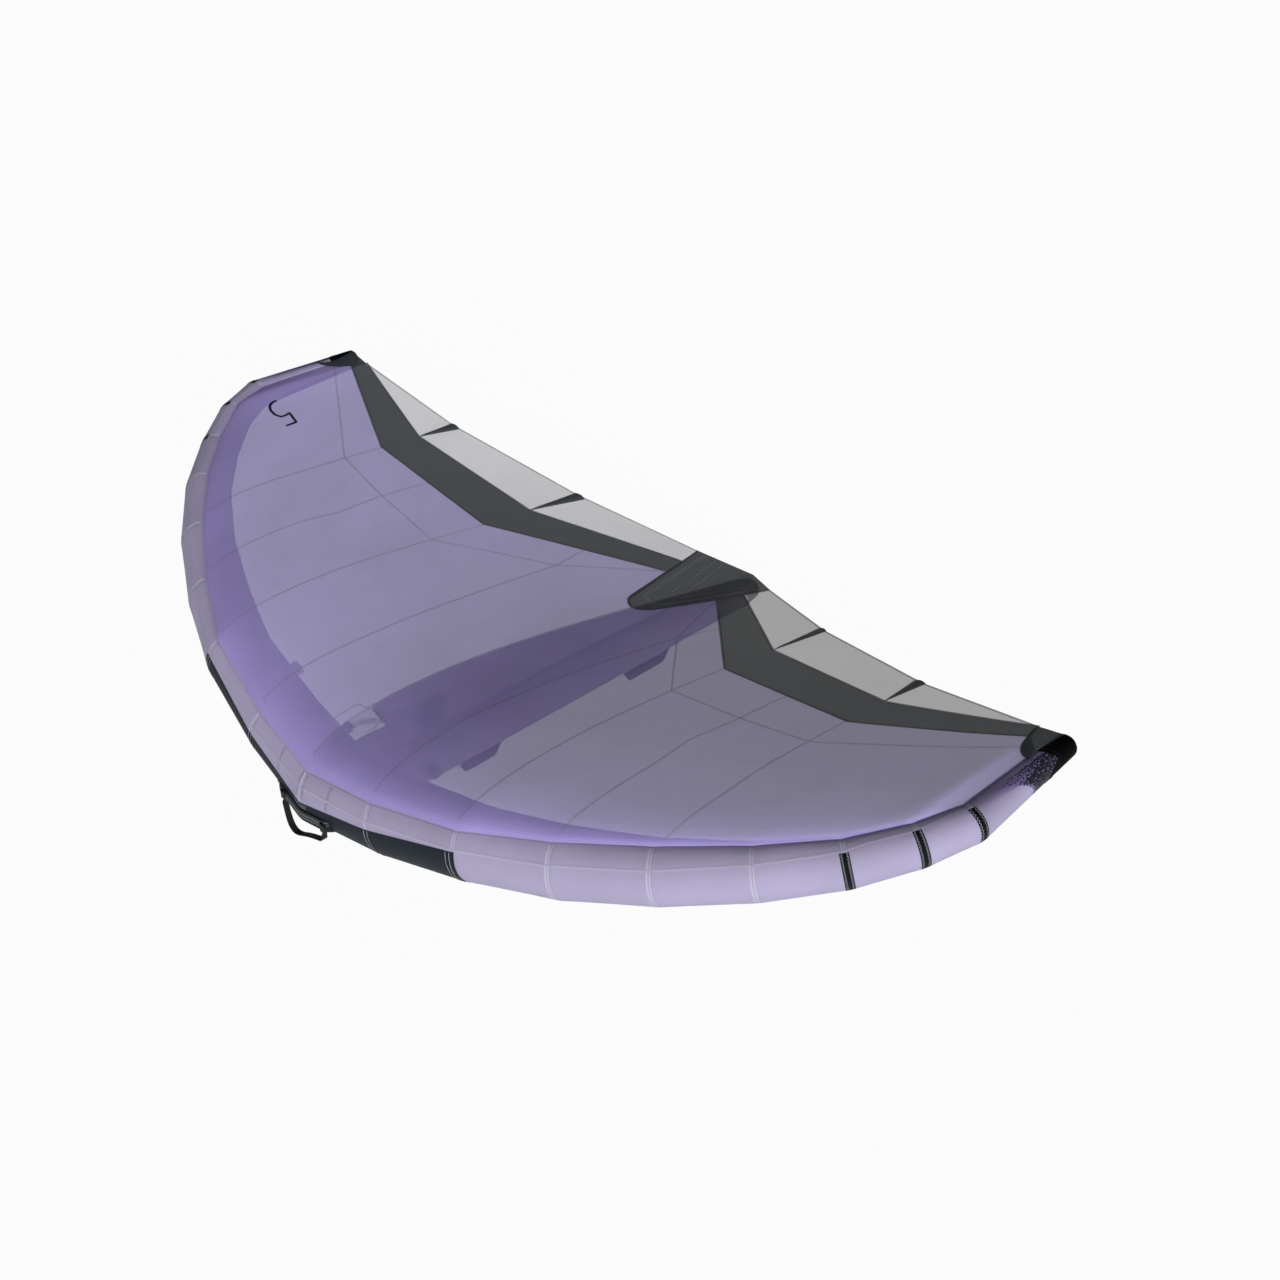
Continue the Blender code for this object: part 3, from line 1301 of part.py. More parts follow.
def main():
    clear_scene()
    nose = nose_cutter()
    inflate = inflate_frame()
    deflate = deflate_frame()
    ports = hose_port_frames()
    build_leading_edge(port_cutter("leading_edge_holes", deflate, ports[0]))
    build_reinforcements()
    build_canopy()
    build_centre_patch()
    build_strut(nose, port_cutter("strut_holes", inflate, ports[1]))
    build_fin()
    build_front_handle()
    build_strut_handles()
    build_valve("inflate", inflate)
    build_plunger("inflate", inflate)
    build_valve("deflate", deflate)
    build_hose(ports)
    build_clamp(ports[0])
    build_le_zip()
    build_strut_zip()
    settle()


main()
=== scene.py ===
"""Looks of the inflatable hand wing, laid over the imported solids.

Points are worked out in the wing's own plan, which starts at the centre of the trailing edge,
and are moved to the row frame when a mesh is made. Metres throughout. A place on the tube is a
station, which counts joints from the centre and is negative on the left, and a turn in degrees
from the canopy's seam, negative towards the outside of the curve.
"""

import math

import bmesh
import bpy
from mathutils import Matrix, Vector


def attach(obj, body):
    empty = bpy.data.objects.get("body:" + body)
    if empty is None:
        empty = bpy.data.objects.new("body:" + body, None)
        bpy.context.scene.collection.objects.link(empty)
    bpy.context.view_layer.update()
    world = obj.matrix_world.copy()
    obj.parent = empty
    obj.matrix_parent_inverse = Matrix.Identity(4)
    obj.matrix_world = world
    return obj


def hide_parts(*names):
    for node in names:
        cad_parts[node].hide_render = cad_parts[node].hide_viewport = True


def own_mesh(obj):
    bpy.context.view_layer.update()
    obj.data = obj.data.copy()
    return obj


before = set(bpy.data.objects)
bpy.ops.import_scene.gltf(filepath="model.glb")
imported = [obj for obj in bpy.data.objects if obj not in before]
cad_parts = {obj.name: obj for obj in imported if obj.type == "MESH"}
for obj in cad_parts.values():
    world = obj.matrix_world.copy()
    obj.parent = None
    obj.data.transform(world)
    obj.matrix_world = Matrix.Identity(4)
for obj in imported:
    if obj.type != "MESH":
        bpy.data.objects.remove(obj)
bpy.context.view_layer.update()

MM = 0.001
ORIGIN = Vector((0.0, 1.012364, 0.162274))

HALF_SPAN = 1.704
CHORD = 1.887
LE_RADIUS = 0.131
TE_RISE = 0.514
JOINT_X = (0.0, 0.177, 0.368, 0.526, 0.674, 0.801, 0.898, 0.964, 1.0, 0.994)
JOINT_Y = (0.0, 0.017, 0.053, 0.126, 0.216, 0.324, 0.443, 0.555, 0.664, 1.0)
JOINT_Z = (0.0, 0.125, 0.304, 0.421, 0.569, 0.708, 0.815, 0.922, 0.980, 1.0)
JOINT_R = (1.0, 0.943, 0.843, 0.791, 0.703, 0.612, 0.531, 0.472, 0.407, 0.263)
SEAM_DEGREES = (132.0, 132.0, 128.0, 113.0, 98.0, 88.0, 84.0, 80.0, 66.0, 62.0)
JOINTS = [Vector((HALF_SPAN * x, -CHORD + 1.300 * y, 0.078 + 0.425 * z))
          for x, y, z in zip(JOINT_X, JOINT_Y, JOINT_Z)]
RADII = [LE_RADIUS * share for share in JOINT_R]
LAST = len(JOINTS) - 1

SEAT_GAP = 0.3 * MM
CLOTH_GAP = 0.4 * MM
SKIN_WALL = 1.3 * MM
PATCH_LIFT = 0.9 * MM
TIP_PATCH_LIFT = 2.2 * MM
UPPER_STITCH_LIFT = 1.9 * MM
CANOPY_SEAM_LIFT = 1.5 * MM
HEM_LIFT = 1.2 * MM
FILM_INSET = 9.5 * MM
STITCH_PUSH = 0.006
TOOTH_PITCH = 0.0032
FLOOR_HALF = 40.0


# Numbers and points

def between(low, high, share):
    return low + (high - low) * share


def spread(low, high, count):
    return [between(low, high, step / (count - 1)) for step in range(count)]


def mirrored(point):
    return Vector((-point.x, point.y, point.z))


def sided(grid, side):
    """The grid as made for the right side, or its mirror image for the left."""
    return grid if side == "right" else [[mirrored(point) for point in column] for column in grid[::-1]]


def mirror_columns(grid):
    """The right half's columns with their mirror images before them."""
    return [[mirrored(point) for point in column] for column in grid[:0:-1]] + grid


def step_before(xs, x):
    index = 0
    while index < len(xs) - 2 and x > xs[index + 1]:
        index += 1
    return index


def interpolate(xs, values, x):
    index = step_before(xs, x)
    share = (x - xs[index]) / (xs[index + 1] - xs[index])
    return values[index] + (values[index + 1] - values[index]) * share


def eased(xs, values, x):
    """Smooth curve through the same points."""
    index = step_before(xs, x)
    slopes = []
    for place in (index, index + 1):
        low = max(place - 1, 0)
        high = min(place + 1, len(xs) - 1)
        slopes.append((values[high] - values[low]) / (xs[high] - xs[low]))
    if index == 0:
        slopes[0] = 0.0
    width = xs[index + 1] - xs[index]
    t = (x - xs[index]) / width
    return (values[index] * (1 + 2 * t) * (1 - t) ** 2 + slopes[0] * width * t * (1 - t) ** 2
            + values[index + 1] * t * t * (3 - 2 * t) + slopes[1] * width * t * t * (t - 1))


def fill_in(points, per):
    """Points between matched points."""
    out = [points[0]]
    for near, far, count in zip(points, points[1:], per):
        out += [between(near, far, (index + 1) / count) for index in range(count)]
    return out


def along_line(points, step):
    """Fill in a line of pairs so that no step is longer than step."""
    out = [points[0]]
    for near, far in zip(points, points[1:]):
        length = math.hypot(far[0] - near[0], far[1] - near[1])
        count = max(int(math.ceil(length / step)), 1)
        for index in range(1, count + 1):
            out.append(tuple(between(a, b, index / count) for a, b in zip(near, far)))
    return out


def degrees_range(low, high, step):
    count = max(int(abs(high - low) / step), 2)
    return [between(low, high, index / count) for index in range(count + 1)]


def smooth_path(points, per=6):
    """Catmull-Rom curve through the points."""
    out = []
    for index in range(len(points) - 1):
        a, b, c = points[max(index - 1, 0)], points[index], points[index + 1]
        d = points[min(index + 2, len(points) - 1)]
        for step in range(per):
            t = step / per
            out.append(0.5 * ((2.0 * b) + (c - a) * t + (2.0 * a - 5.0 * b + 4.0 * c - d) * t * t
                              + (3.0 * b - a - 3.0 * c + d) * t * t * t))
    out.append(points[-1].copy())
    return out


# Tube of the leading edge

def segment_frames():
    frames = []
    for near, far in zip(JOINTS, JOINTS[1:]):
        onward = (far - near).normalized()
        if frames:
            back = frames[-1][0].rotation_difference(onward) @ frames[-1][1]
        else:
            back = Vector((0.0, 1.0, 0.0))
            back = (back - onward * back.dot(onward)).normalized()
        frames.append((onward, back, onward.cross(back)))
    return frames


FRAMES = segment_frames()


def ring_point(index, degrees, offset):
    onward, back, up = FRAMES[min(index, LAST - 1)]
    turn = math.radians(SEAM_DEGREES[index] - degrees)
    spoke = back * math.cos(turn) + up * math.sin(turn)
    if index == 0:
        mitre = Vector((1.0, 0.0, 0.0))
    elif index < LAST:
        mitre = (FRAMES[index - 1][0] + onward).normalized()
    else:
        mitre = onward
    slide = -spoke.dot(mitre) / onward.dot(mitre)
    return JOINTS[index] + (spoke + onward * slide) * (RADII[index] + offset)


def tube_point(station, degrees, offset=0.0):
    place = abs(station)
    index = min(int(place), LAST - 1)
    spot = between(ring_point(index, degrees, offset), ring_point(index + 1, degrees, offset), place - index)
    return mirrored(spot) if station < 0.0 else spot


def tube_normal(spot, station, degrees):
    return (spot - tube_point(station, degrees, -0.02)).normalized()


def near_joint(station):
    """Metres from the nearest joint along the tube."""
    place = abs(station)
    index = min(int(round(place)), LAST)
    other = min(max(index + (1 if place > index else -1), 0), LAST)
    length = (JOINTS[other] - JOINTS[index]).length if other != index else 0.3
    return abs(place - index) * length


def skin_point(station, degrees, offset=0.0):
    """Tube surface with a pinch at each sewn joint and small puckers beside it."""
    if abs(station) > LAST - 0.02:
        return tube_point(station, degrees, offset)
    gap = near_joint(station)
    turn = math.radians(degrees)
    pinch = -1.1 * MM * math.exp(-(gap / 0.007) ** 2)
    ripple = math.sin(turn * 27.0 + station) * math.sin(turn * 11.0)
    pucker = 0.55 * MM * ripple * math.exp(-((gap - 0.016) / 0.012) ** 2)
    return tube_point(station, degrees, offset + pinch + pucker)


def tube_spots(points, lift):
    """Points and outward normals on the tube for (station, degrees) pairs."""
    spots = [(skin_point(station, turn, lift), station, turn) for station, turn in points]
    return [(spot, tube_normal(spot, station, turn)) for spot, station, turn in spots]


def dome_point(degrees, lift, side):
    """Low dome that closes the tip."""
    rim = ring_point(LAST, degrees, 0.0) - JOINTS[LAST]
    rise = FRAMES[LAST - 1][0] * (RADII[LAST] * 0.55 * math.sin(lift))
    spot = JOINTS[LAST] + rim * math.cos(lift) + rise
    return mirrored(spot) if side < 0.0 else spot


def le_stations():
    """Stations from the centre to the tip, close together near the joints."""
    out = [0.0]
    for index in range(LAST):
        length = (JOINTS[index + 1] - JOINTS[index]).length
        edge = [gap / length for gap in (0.004, 0.011, 0.021, 0.035)]
        inner = [share for share in (0.18, 0.34, 0.5, 0.66, 0.82) if edge[-1] < share < 1.0 - edge[-1]]
        out += [index + share for share in edge + inner + [1.0 - share for share in reversed(edge)]]
        out.append(index + 1.0)
    return out


def both_ways(half):
    return [-place for place in reversed(half[1:])] + half


def ring_grid(station, half_width, turns, lift):
    """Band across the tube, centred on a station, that bends with a sewn joint."""
    index = int(round(station))
    ahead = (JOINTS[min(index + 1, LAST)] - JOINTS[min(index, LAST - 1)]).length
    behind = (JOINTS[max(index, 1)] - JOINTS[max(index - 1, 0)]).length
    if abs(station - index) > 1e-6:
        ahead = behind = (JOINTS[int(station) + 1] - JOINTS[int(station)]).length
    elif index == 0:
        behind = ahead
    places = [station + share * half_width / (ahead if share > 0.0 else behind)
              for share in (-1.0, -0.5, 0.0, 0.5, 1.0)]
    return [[skin_point(place, turn, lift) for place in places] for turn in turns]


def off_tube(spot, lift):
    """Push a point out of the last tube section."""
    axis = JOINTS[LAST] - JOINTS[LAST - 1]
    share = min(max((spot - JOINTS[LAST - 1]).dot(axis) / axis.length_squared, 0.0), 1.0)
    middle = between(JOINTS[LAST - 1], JOINTS[LAST], share)
    size = between(RADII[LAST - 1], RADII[LAST], share) + lift
    spoke = spot - middle
    return middle + spoke.normalized() * size if spoke.length < size else spot


def frame_at(origin, outward, along):
    z_axis = Vector(outward).normalized()
    x_axis = Vector(along)
    x_axis = (x_axis - z_axis * x_axis.dot(z_axis)).normalized()
    turn = Matrix((x_axis, z_axis.cross(x_axis), z_axis)).transposed()
    return Matrix.Translation(Vector(origin)) @ turn.to_4x4()


def facet_frame(station, facet):
    """Frame on the middle of one of the solid tube's twenty facets."""
    low = facet * 18.0
    high = low + 18.0
    index = min(int(abs(station)), LAST - 1)
    side = -1.0 if station < 0.0 else 1.0
    near, far = [between(tube_point(side * place, low), tube_point(side * place, high), 0.5)
                 for place in (index, index + 1)]
    middle = between(near, far, abs(station) - index)
    across = tube_point(station, high) - tube_point(station, low)
    outward = (far - near).normalized().cross(across).normalized()
    axis_spot = between(JOINTS[index], JOINTS[index + 1], abs(station) - index)
    if side < 0.0:
        axis_spot = mirrored(axis_spot)
    if outward.dot(middle - axis_spot) < 0.0:
        outward = -outward
    return frame_at(middle, outward, (0.0, 0.0, 1.0))


# Canopy surface

CAMBER = (0.081, 0.072, 0.063, 0.055, 0.045, 0.040, 0.036, 0.032, 0.025)
SEAM_LINE = [ring_point(index, 0.0, CLOTH_GAP) for index in range(LAST)]
SEAM_X, SEAM_Y, SEAM_Z = [[spot[axis] for spot in SEAM_LINE] for axis in range(3)]
TE_X = [HALF_SPAN * share for share in (0.0, 0.110, 0.347, 0.373, 0.658, 0.684, 0.941, 0.975)]
TE_Y = [-CHORD * share for share in (0.0, 0.0594, 0.1643, 0.1765, 0.261, 0.267, 0.307, 0.310)]
TE_Z = [TE_RISE * share for share in (0.0, 0.138, 0.401, 0.434, 0.720, 0.743, 1.0, 1.035)]


def canopy_point(x, y):
    side = abs(x)
    front = interpolate(SEAM_X, SEAM_Y, side)
    rear = interpolate(TE_X, TE_Y, side)
    share = min(max((y - front) / (rear - front), 0.0), 1.0)
    ease = min(share * 5.0, 1.0)
    front_z = between(interpolate(SEAM_X, SEAM_Z, side), eased(SEAM_X, SEAM_Z, side), ease)
    rear_z = interpolate(TE_X, TE_Z, side)
    camber = eased(SEAM_X, CAMBER, side) * (rear - front)
    bump = camber * math.sin(math.pi * share ** 0.53)
    return Vector((x, y, between(front_z, rear_z, share) + bump))


def canopy_normal(x, y):
    step = 0.004
    across = canopy_point(x + step, y) - canopy_point(x - step, y)
    along = canopy_point(x, y + step) - canopy_point(x, y - step)
    return across.cross(along).normalized()


def lifted(spot, height=0.0):
    point = canopy_point(spot.x, spot.y)
    point.z += height
    return point


def flat_point(x, y):
    return Vector((x, y, 0.0))


def plan(x_share, y_share):
    return flat_point(HALF_SPAN * x_share, -CHORD * y_share)


def line_at(points, x):
    return flat_point(x, interpolate([p.x for p in points], [p.y for p in points], x))


PATCH_SIDE = plan(0.078, 0.180)
PATCH_MIDDLE = between(PATCH_SIDE, plan(0.110, 0.0594), 0.5)
LOW_LINE = [PATCH_SIDE, plan(0.357, 0.424), plan(0.671, 0.451), plan(0.949, 0.342)]
UP_LINE = [PATCH_MIDDLE, plan(0.360, 0.305), plan(0.672, 0.358), plan(0.941, 0.307)]
TE_LINE = [flat_point(x, y) for x, y in zip(TE_X, TE_Y)]


def band_points(start, line):
    """The band's edge from under the centre patch, with a point where each panel seam meets it."""
    seams = [line_at(line, JOINTS[joint].x) for joint in (1, 3, 5, 6)]
    return [start, seams[0], line[1], seams[1], line[2], seams[2], seams[3], line[3]]


LOW_POINTS = band_points(flat_point(0.124, -0.325), LOW_LINE)
HIGH_POINTS = band_points(flat_point(0.152, -0.217), UP_LINE)
UNDER_CORNER = flat_point(0.181, -0.108)

# Strut surface

STRUT_Y = [-CHORD * share for share in (0.945, 0.726, 0.466, 0.207, 0.042, 0.004)]
STRUT_Z = [-0.051 * share for share in (-0.16, -0.08, 0.0, 0.31, 1.0, 1.08)]
STRUT_R = [0.085 * share for share in (1.0, 1.0, 1.0, 0.876, 0.600, 0.424)]
FACET = math.cos(math.pi / 16)


def strut_at(y):
    return interpolate(STRUT_Y, STRUT_Z, y), interpolate(STRUT_Y, STRUT_R, y)


def strut_ring(y, z, size, turns):
    turns = [math.radians(turn) for turn in turns]
    return [Vector((size * math.cos(turn), y, z + size * math.sin(turn))) for turn in turns]


def strut_point(y, degrees, offset=0.0):
    z, radius = strut_at(y)
    return strut_ring(y, z, radius + offset, [degrees])[0]


def strut_low(y):
    z, radius = strut_at(y)
    return z - radius * FACET


# Meshes

def metric_uv(grid):
    """UV in metres: along the columns' middle row, and across each column."""
    middle = len(grid[0]) // 2
    out = []
    along = 0.0
    for c, column in enumerate(grid):
        if c:
            along += (column[middle] - grid[c - 1][middle]).length
        across = 0.0
        out.append((along, across))
        for near, far in zip(column, column[1:]):
            across += (far - near).length
            out.append((along, across))
    return out


def grid_part(grid, width=None):
    """Grid of points, columns of rows, as a part; a width given sets how far v runs."""
    rows = len(grid[0])
    verts = [point for column in grid for point in column]
    faces = []
    for here in range(rows, len(verts)):
        if here % rows:
            faces.append((here - rows - 1, here - 1, here, here - rows))
    uvs = metric_uv(grid)
    if width is not None:
        uvs = [(u, width * (index % rows) / (rows - 1)) for index, (u, _) in enumerate(uvs)]
    return verts, faces, uvs


def strip_part(left, right, width):
    """Ribbon between two lines of points; UV is metres along and metres across."""
    verts, faces, uvs = [], [], []
    along = 0.0
    for index, (a, b) in enumerate(zip(left, right)):
        if index:
            along += ((a + b) * 0.5 - (left[index - 1] + right[index - 1]) * 0.5).length
            base = index * 2
            faces.append((base - 2, base, base + 1, base - 1))
        verts += [a, b]
        uvs += [(along, 0.0), (along, width)]
    return verts, faces, uvs


def ribbon_part(spots, width):
    """Flat ribbon along points with their normals."""
    left, right = [], []
    for index, (spot, normal) in enumerate(spots):
        before = spots[max(index - 1, 0)][0]
        after = spots[min(index + 1, len(spots) - 1)][0]
        side = normal.cross((after - before).normalized()).normalized() * (width * 0.5)
        left.append(spot - side)
        right.append(spot + side)
    return strip_part(left, right, width)


def surface_ribbon(points, width, lift=CANOPY_SEAM_LIFT, step=0.02):
    """Ribbon on the canopy through plan points."""
    line = along_line(points, step)
    return ribbon_part([(lifted(flat_point(x, y), lift), canopy_normal(x, y)) for x, y in line], width)


def each_side(part):
    """A part of the right side, and its mirror image."""
    verts, faces, uvs = part
    return [part, ([mirrored(point) for point in verts], [face[::-1] for face in faces], list(uvs))]


def swept_part(path, section, ring_at, seam_at):
    """Skin swept along a path, open at its ends; ring_at gives the section's points at a place."""
    verts, faces, uvs = [], [], []
    along = 0.0
    for index, spot in enumerate(path):
        before = path[max(index - 1, 0)]
        after = path[min(index + 1, len(path) - 1)]
        if index:
            along += (spot - before).length
        verts += ring_at(index, spot, (after - before).normalized())
        uvs += [(along, edge) for edge in seam_at(index)]
        if index:
            here = index * section
            faces += [(here - section + step - 1, here - section + step, here + step, here + step - 1)
                      for step in range(1, section)]
    return verts, faces, uvs


def tube_part(path, radius, sides, up=(0.0, 0.0, 1.0)):
    """Round tube along a path; radius may be a list."""
    turns = [math.tau * step / sides for step in range(sides + 1)]
    sizes = radius if isinstance(radius, list) else [radius] * len(path)

    def ring_at(index, spot, onward):
        across = onward.cross(Vector(up))
        if across.length < 1e-6:
            across = onward.cross(Vector((1.0, 0.0, 0.0)))
        across.normalize()
        lift = across.cross(onward)
        return [spot + (across * math.cos(turn) + lift * math.sin(turn)) * sizes[index] for turn in turns]

    verts, faces, uvs = swept_part(path, sides + 1, ring_at, lambda index: [turn * sizes[index] for turn in turns])
    faces = [(a, d, c, b) for a, b, c, d in faces]
    last = (len(path) - 1) * (sides + 1)
    faces += [tuple(range(sides)), tuple(range(last + sides - 1, last - 1, -1))]
    return verts, faces, uvs


STRAP_SECTION = [(-1.0, 0.0), (-0.96, 0.42), (-0.88, 0.5), (0.88, 0.5), (0.96, 0.42), (1.0, 0.0),
                 (0.96, -0.42), (0.88, -0.5), (-0.88, -0.5), (-0.96, -0.42), (-1.0, 0.0)]


def strap_part(path, across, widths, thickness):
    """Flat strap with rounded edges along a path; its half width may be a list."""
    across = Vector(across)
    sizes = widths if isinstance(widths, list) else [widths] * len(path)

    def ring_at(index, spot, onward):
        normal = onward.cross(across).normalized()
        return [spot + across * (s * sizes[index]) + normal * (t * thickness) for s, t in STRAP_SECTION]

    def seam_at(index):
        edges = [0.0]
        for (s, t), (s_next, t_next) in zip(STRAP_SECTION, STRAP_SECTION[1:]):
            edges.append(edges[-1] + math.hypot((s_next - s) * sizes[index], (t_next - t) * thickness))
        return edges

    count = len(STRAP_SECTION)
    verts, faces, uvs = swept_part(path, count, ring_at, seam_at)
    last = (len(path) - 1) * count
    faces += [tuple(range(count - 1)), tuple(range(last + count - 2, last - 1, -1))]
    return verts, faces, uvs


def link_object(name, data):
    made = bpy.data.objects.new(name, data)
    bpy.context.scene.collection.objects.link(made)
    return made


def make(name, parts, material, *stands_for, slot=None, body="wing", place=None):
    """One piece from lists of vertices, faces and UVs, with what it stands for; the slot argument is not used."""
    mesh = bpy.data.meshes.new(name)
    verts, faces, uvs = [], [], []
    for part_verts, part_faces, part_uvs in parts:
        start = len(verts)
        verts += [tuple(point + ORIGIN) for point in part_verts]
        faces += [tuple(start + index for index in face) for face in part_faces]
        uvs += part_uvs
    mesh.from_pydata(verts, [], faces)
    for layer_name, values in (("UVMap", uvs), ("Place", place)):
        if values is not None:
            layer = mesh.uv_layers.new(name=layer_name)
            for loop in mesh.loops:
                layer.data[loop.index].uv = values[loop.vertex_index]
    for polygon in mesh.polygons:
        polygon.use_smooth = True
    mesh.materials.append(material)
    made = link_object(name, mesh)
    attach(made, body)
    if stands_for:
        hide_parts(*stands_for)
    return made


def make_grid(name, grid, material, *stands_for, **settings):
    return make(name, [grid_part(grid)], material, *stands_for, **settings)


def weld(piece, reach, fill=False):
    """Close the seam where a section meets itself, and fill open ends where asked."""
    builder = bmesh.new()
    builder.from_mesh(piece.data)
    bmesh.ops.remove_doubles(builder, verts=builder.verts, dist=reach)
    if fill:
        bmesh.ops.holes_fill(builder, edges=[edge for edge in builder.edges if edge.is_boundary], sides=0)
    bmesh.ops.recalc_face_normals(builder, faces=builder.faces)
    builder.to_mesh(piece.data)
    builder.free()


def apply_modifiers(piece):
    bpy.context.view_layer.update()
    depsgraph = bpy.context.evaluated_depsgraph_get()
    made = bpy.data.meshes.new_from_object(piece.evaluated_get(depsgraph))
    piece.modifiers.clear()
    piece.data = made


def pierce(target, placing, radius):
    """Cut a round hole where a valve or a port passes the cloth."""
    sides = 32
    turns = [math.tau * step / sides for step in range(sides)]
    verts = [(placing @ Vector((radius * math.cos(turn), radius * math.sin(turn), height))) + ORIGIN
             for height in (-0.03, 0.02) for turn in turns]
    after = list(range(1, sides)) + [0]
    faces = [(near, far, sides + far, sides + near) for near, far in enumerate(after)]
    faces += [tuple(range(sides - 1, -1, -1)), tuple(range(sides, 2 * sides))]
    mesh = bpy.data.meshes.new("cutter")
    mesh.from_pydata(verts, [], faces)
    cutter = link_object("cutter", mesh)
    modifier = target.modifiers.new("hole", 'BOOLEAN')
    modifier.operation = 'DIFFERENCE'
    modifier.object = cutter
    modifier.solver = 'EXACT'
    apply_modifiers(target)
    bpy.data.objects.remove(cutter)


# Materials

class Shade:
    """Small helper for node materials."""

    def __init__(self, name, slot, color, rough, metallic=0.0, specular=0.22):
        self.material = bpy.data.materials.new(name)
        self.material.use_nodes = True
        self.material.diffuse_color = (*color, 1.0)
        self.tree = self.material.node_tree
        self.shader = self.tree.nodes["Principled BSDF"]
        for key, value in (("Base Color", (*color, 1.0)), ("Roughness", rough), ("Metallic", metallic),
                           ("Specular IOR Level", specular)):
            self.give(key, value)

    def node(self, kind, **settings):
        made = self.tree.nodes.new(kind)
        for key, value in settings.items():
            setattr(made, key, value)
        return made

    def feed(self, socket, value):
        if isinstance(value, bpy.types.NodeSocket):
            self.tree.links.new(value, socket)
        else:
            socket.default_value = value

    def give(self, key, value):
        self.feed(self.shader.inputs[key], value)

    def math(self, operation, *values):
        made = self.node("ShaderNodeMath", operation=operation)
        for socket, value in zip(made.inputs, values):
            self.feed(socket, value)
        return made.outputs[0]

    def mul(self, a, b):
        return self.math('MULTIPLY', a, b)

    def add(self, a, b):
        return self.math('ADD', a, b)

    def mul_add(self, a, b, c):
        return self.math('MULTIPLY_ADD', a, b, c)

    def uv(self, name="UVMap"):
        made = self.node("ShaderNodeUVMap", uv_map=name)
        parts = self.node("ShaderNodeSeparateXYZ")
        self.feed(parts.inputs[0], made.outputs[0])
        return made.outputs[0], parts.outputs[0], parts.outputs[1]

    def stretch(self, vector, scale):
        made = self.node("ShaderNodeMapping")
        made.inputs["Scale"].default_value = scale
        self.feed(made.inputs["Vector"], vector)
        return made.outputs[0]

    def noise(self, vector, scale, detail=2.0, roughness=0.5):
        made = self.node("ShaderNodeTexNoise")
        for key, value in (("Vector", vector), ("Scale", scale), ("Detail", detail), ("Roughness", roughness)):
            self.feed(made.inputs[key], value)
        return made.outputs["Fac"]

    def ramp(self, factor, low, high):
        made = self.node("ShaderNodeMapRange")
        for key, value in (("From Min", low), ("From Max", high), ("Value", factor)):
            self.feed(made.inputs[key], value)
        return made.outputs["Result"]

    def mix(self, factor, a, b):
        made = self.node("ShaderNodeMix", data_type='RGBA')
        self.feed(made.inputs[0], factor)
        for socket, value in ((made.inputs[6], a), (made.inputs[7], b)):
            self.feed(socket, value if isinstance(value, bpy.types.NodeSocket) else (*value, 1.0))
        return made.outputs[2]

    def line(self, value, pitch, width):
        """1 on thin lines at each pitch, 0 between them."""
        return self.ramp(self.math('PINGPONG', value, pitch * 0.5), width, 0.0)

    def wave(self, value, pitch):
        return self.math('SINE', self.mul(value, math.tau / pitch))

    def weave(self, u, v, pitch):
        """Plain weave height from two crossed waves, in metres of cloth."""
        return self.mul(self.wave(u, pitch), self.wave(v, pitch))

    def bump(self, height, distance, strength):
        made = self.node("ShaderNodeBump")
        for key, value in (("Distance", distance), ("Strength", strength), ("Height", height)):
            self.feed(made.inputs[key], value)
        self.give("Normal", made.outputs[0])


def rgb(red, green, blue):
    """Linear colour from 0-255 values."""
    values = [value / 255.0 for value in (red, green, blue)]
    return tuple(value / 12.92 if value <= 0.04045 else ((value + 0.055) / 1.055) ** 2.4 for value in values)


def toned(color, share):
    return tuple(min(c * share, 1.0) for c in color)


def ripstop(name, slot, color, line_color, rough, pitch, alpha, streak=0.0):
    """Thin ripstop sailcloth: fine weave, a grid of thicker threads, slow colour change."""
    shade = Shade(name, slot, color, rough, specular=0.1)
    vector, u, v = shade.uv()
    grid = shade.math('MAXIMUM', shade.line(u, pitch, 0.0011), shade.line(v, pitch, 0.0011))
    cloud = shade.noise(vector, 2.2, 3.0, 0.6)
    fine = shade.noise(vector, 160.0)
    base = shade.mix(shade.ramp(cloud, 0.3, 0.7), toned(color, 0.90), toned(color, 1.08))
    base = shade.mix(shade.mul(fine, 0.18), base, toned(color, 0.90))
    shade.give("Base Color", shade.mix(shade.mul(grid, 0.45), base, line_color))
    height = shade.add(shade.mul(shade.weave(u, v, 0.0016), 0.25), shade.mul(grid, 0.6))
    if streak:
        pulls = shade.noise(shade.stretch(vector, (1.2, 26.0, 1.0)), 2.0, 3.0, 0.55)
        near = shade.ramp(v, 0.34, 0.05)
        height = shade.add(height, shade.mul(shade.mul(pulls, near), streak))
    wrinkle = shade.noise(vector, 9.0, 4.0, 0.62)
    shade.bump(shade.add(height, shade.mul(wrinkle, 2.0)), 0.0007, 0.6)
    shade.give("Roughness", shade.mul_add(fine, 0.18, rough - 0.09))
    cover = shade.mul_add(grid, 0.04, alpha)
    if streak:
        lines = shade.mul(shade.mul(shade.wave(v, 0.0085), pulls), shade.ramp(v, 0.42, 0.12))
        cover = shade.mul_add(lines, 0.07, cover)
    shade.give("Alpha", cover)
    return shade.material


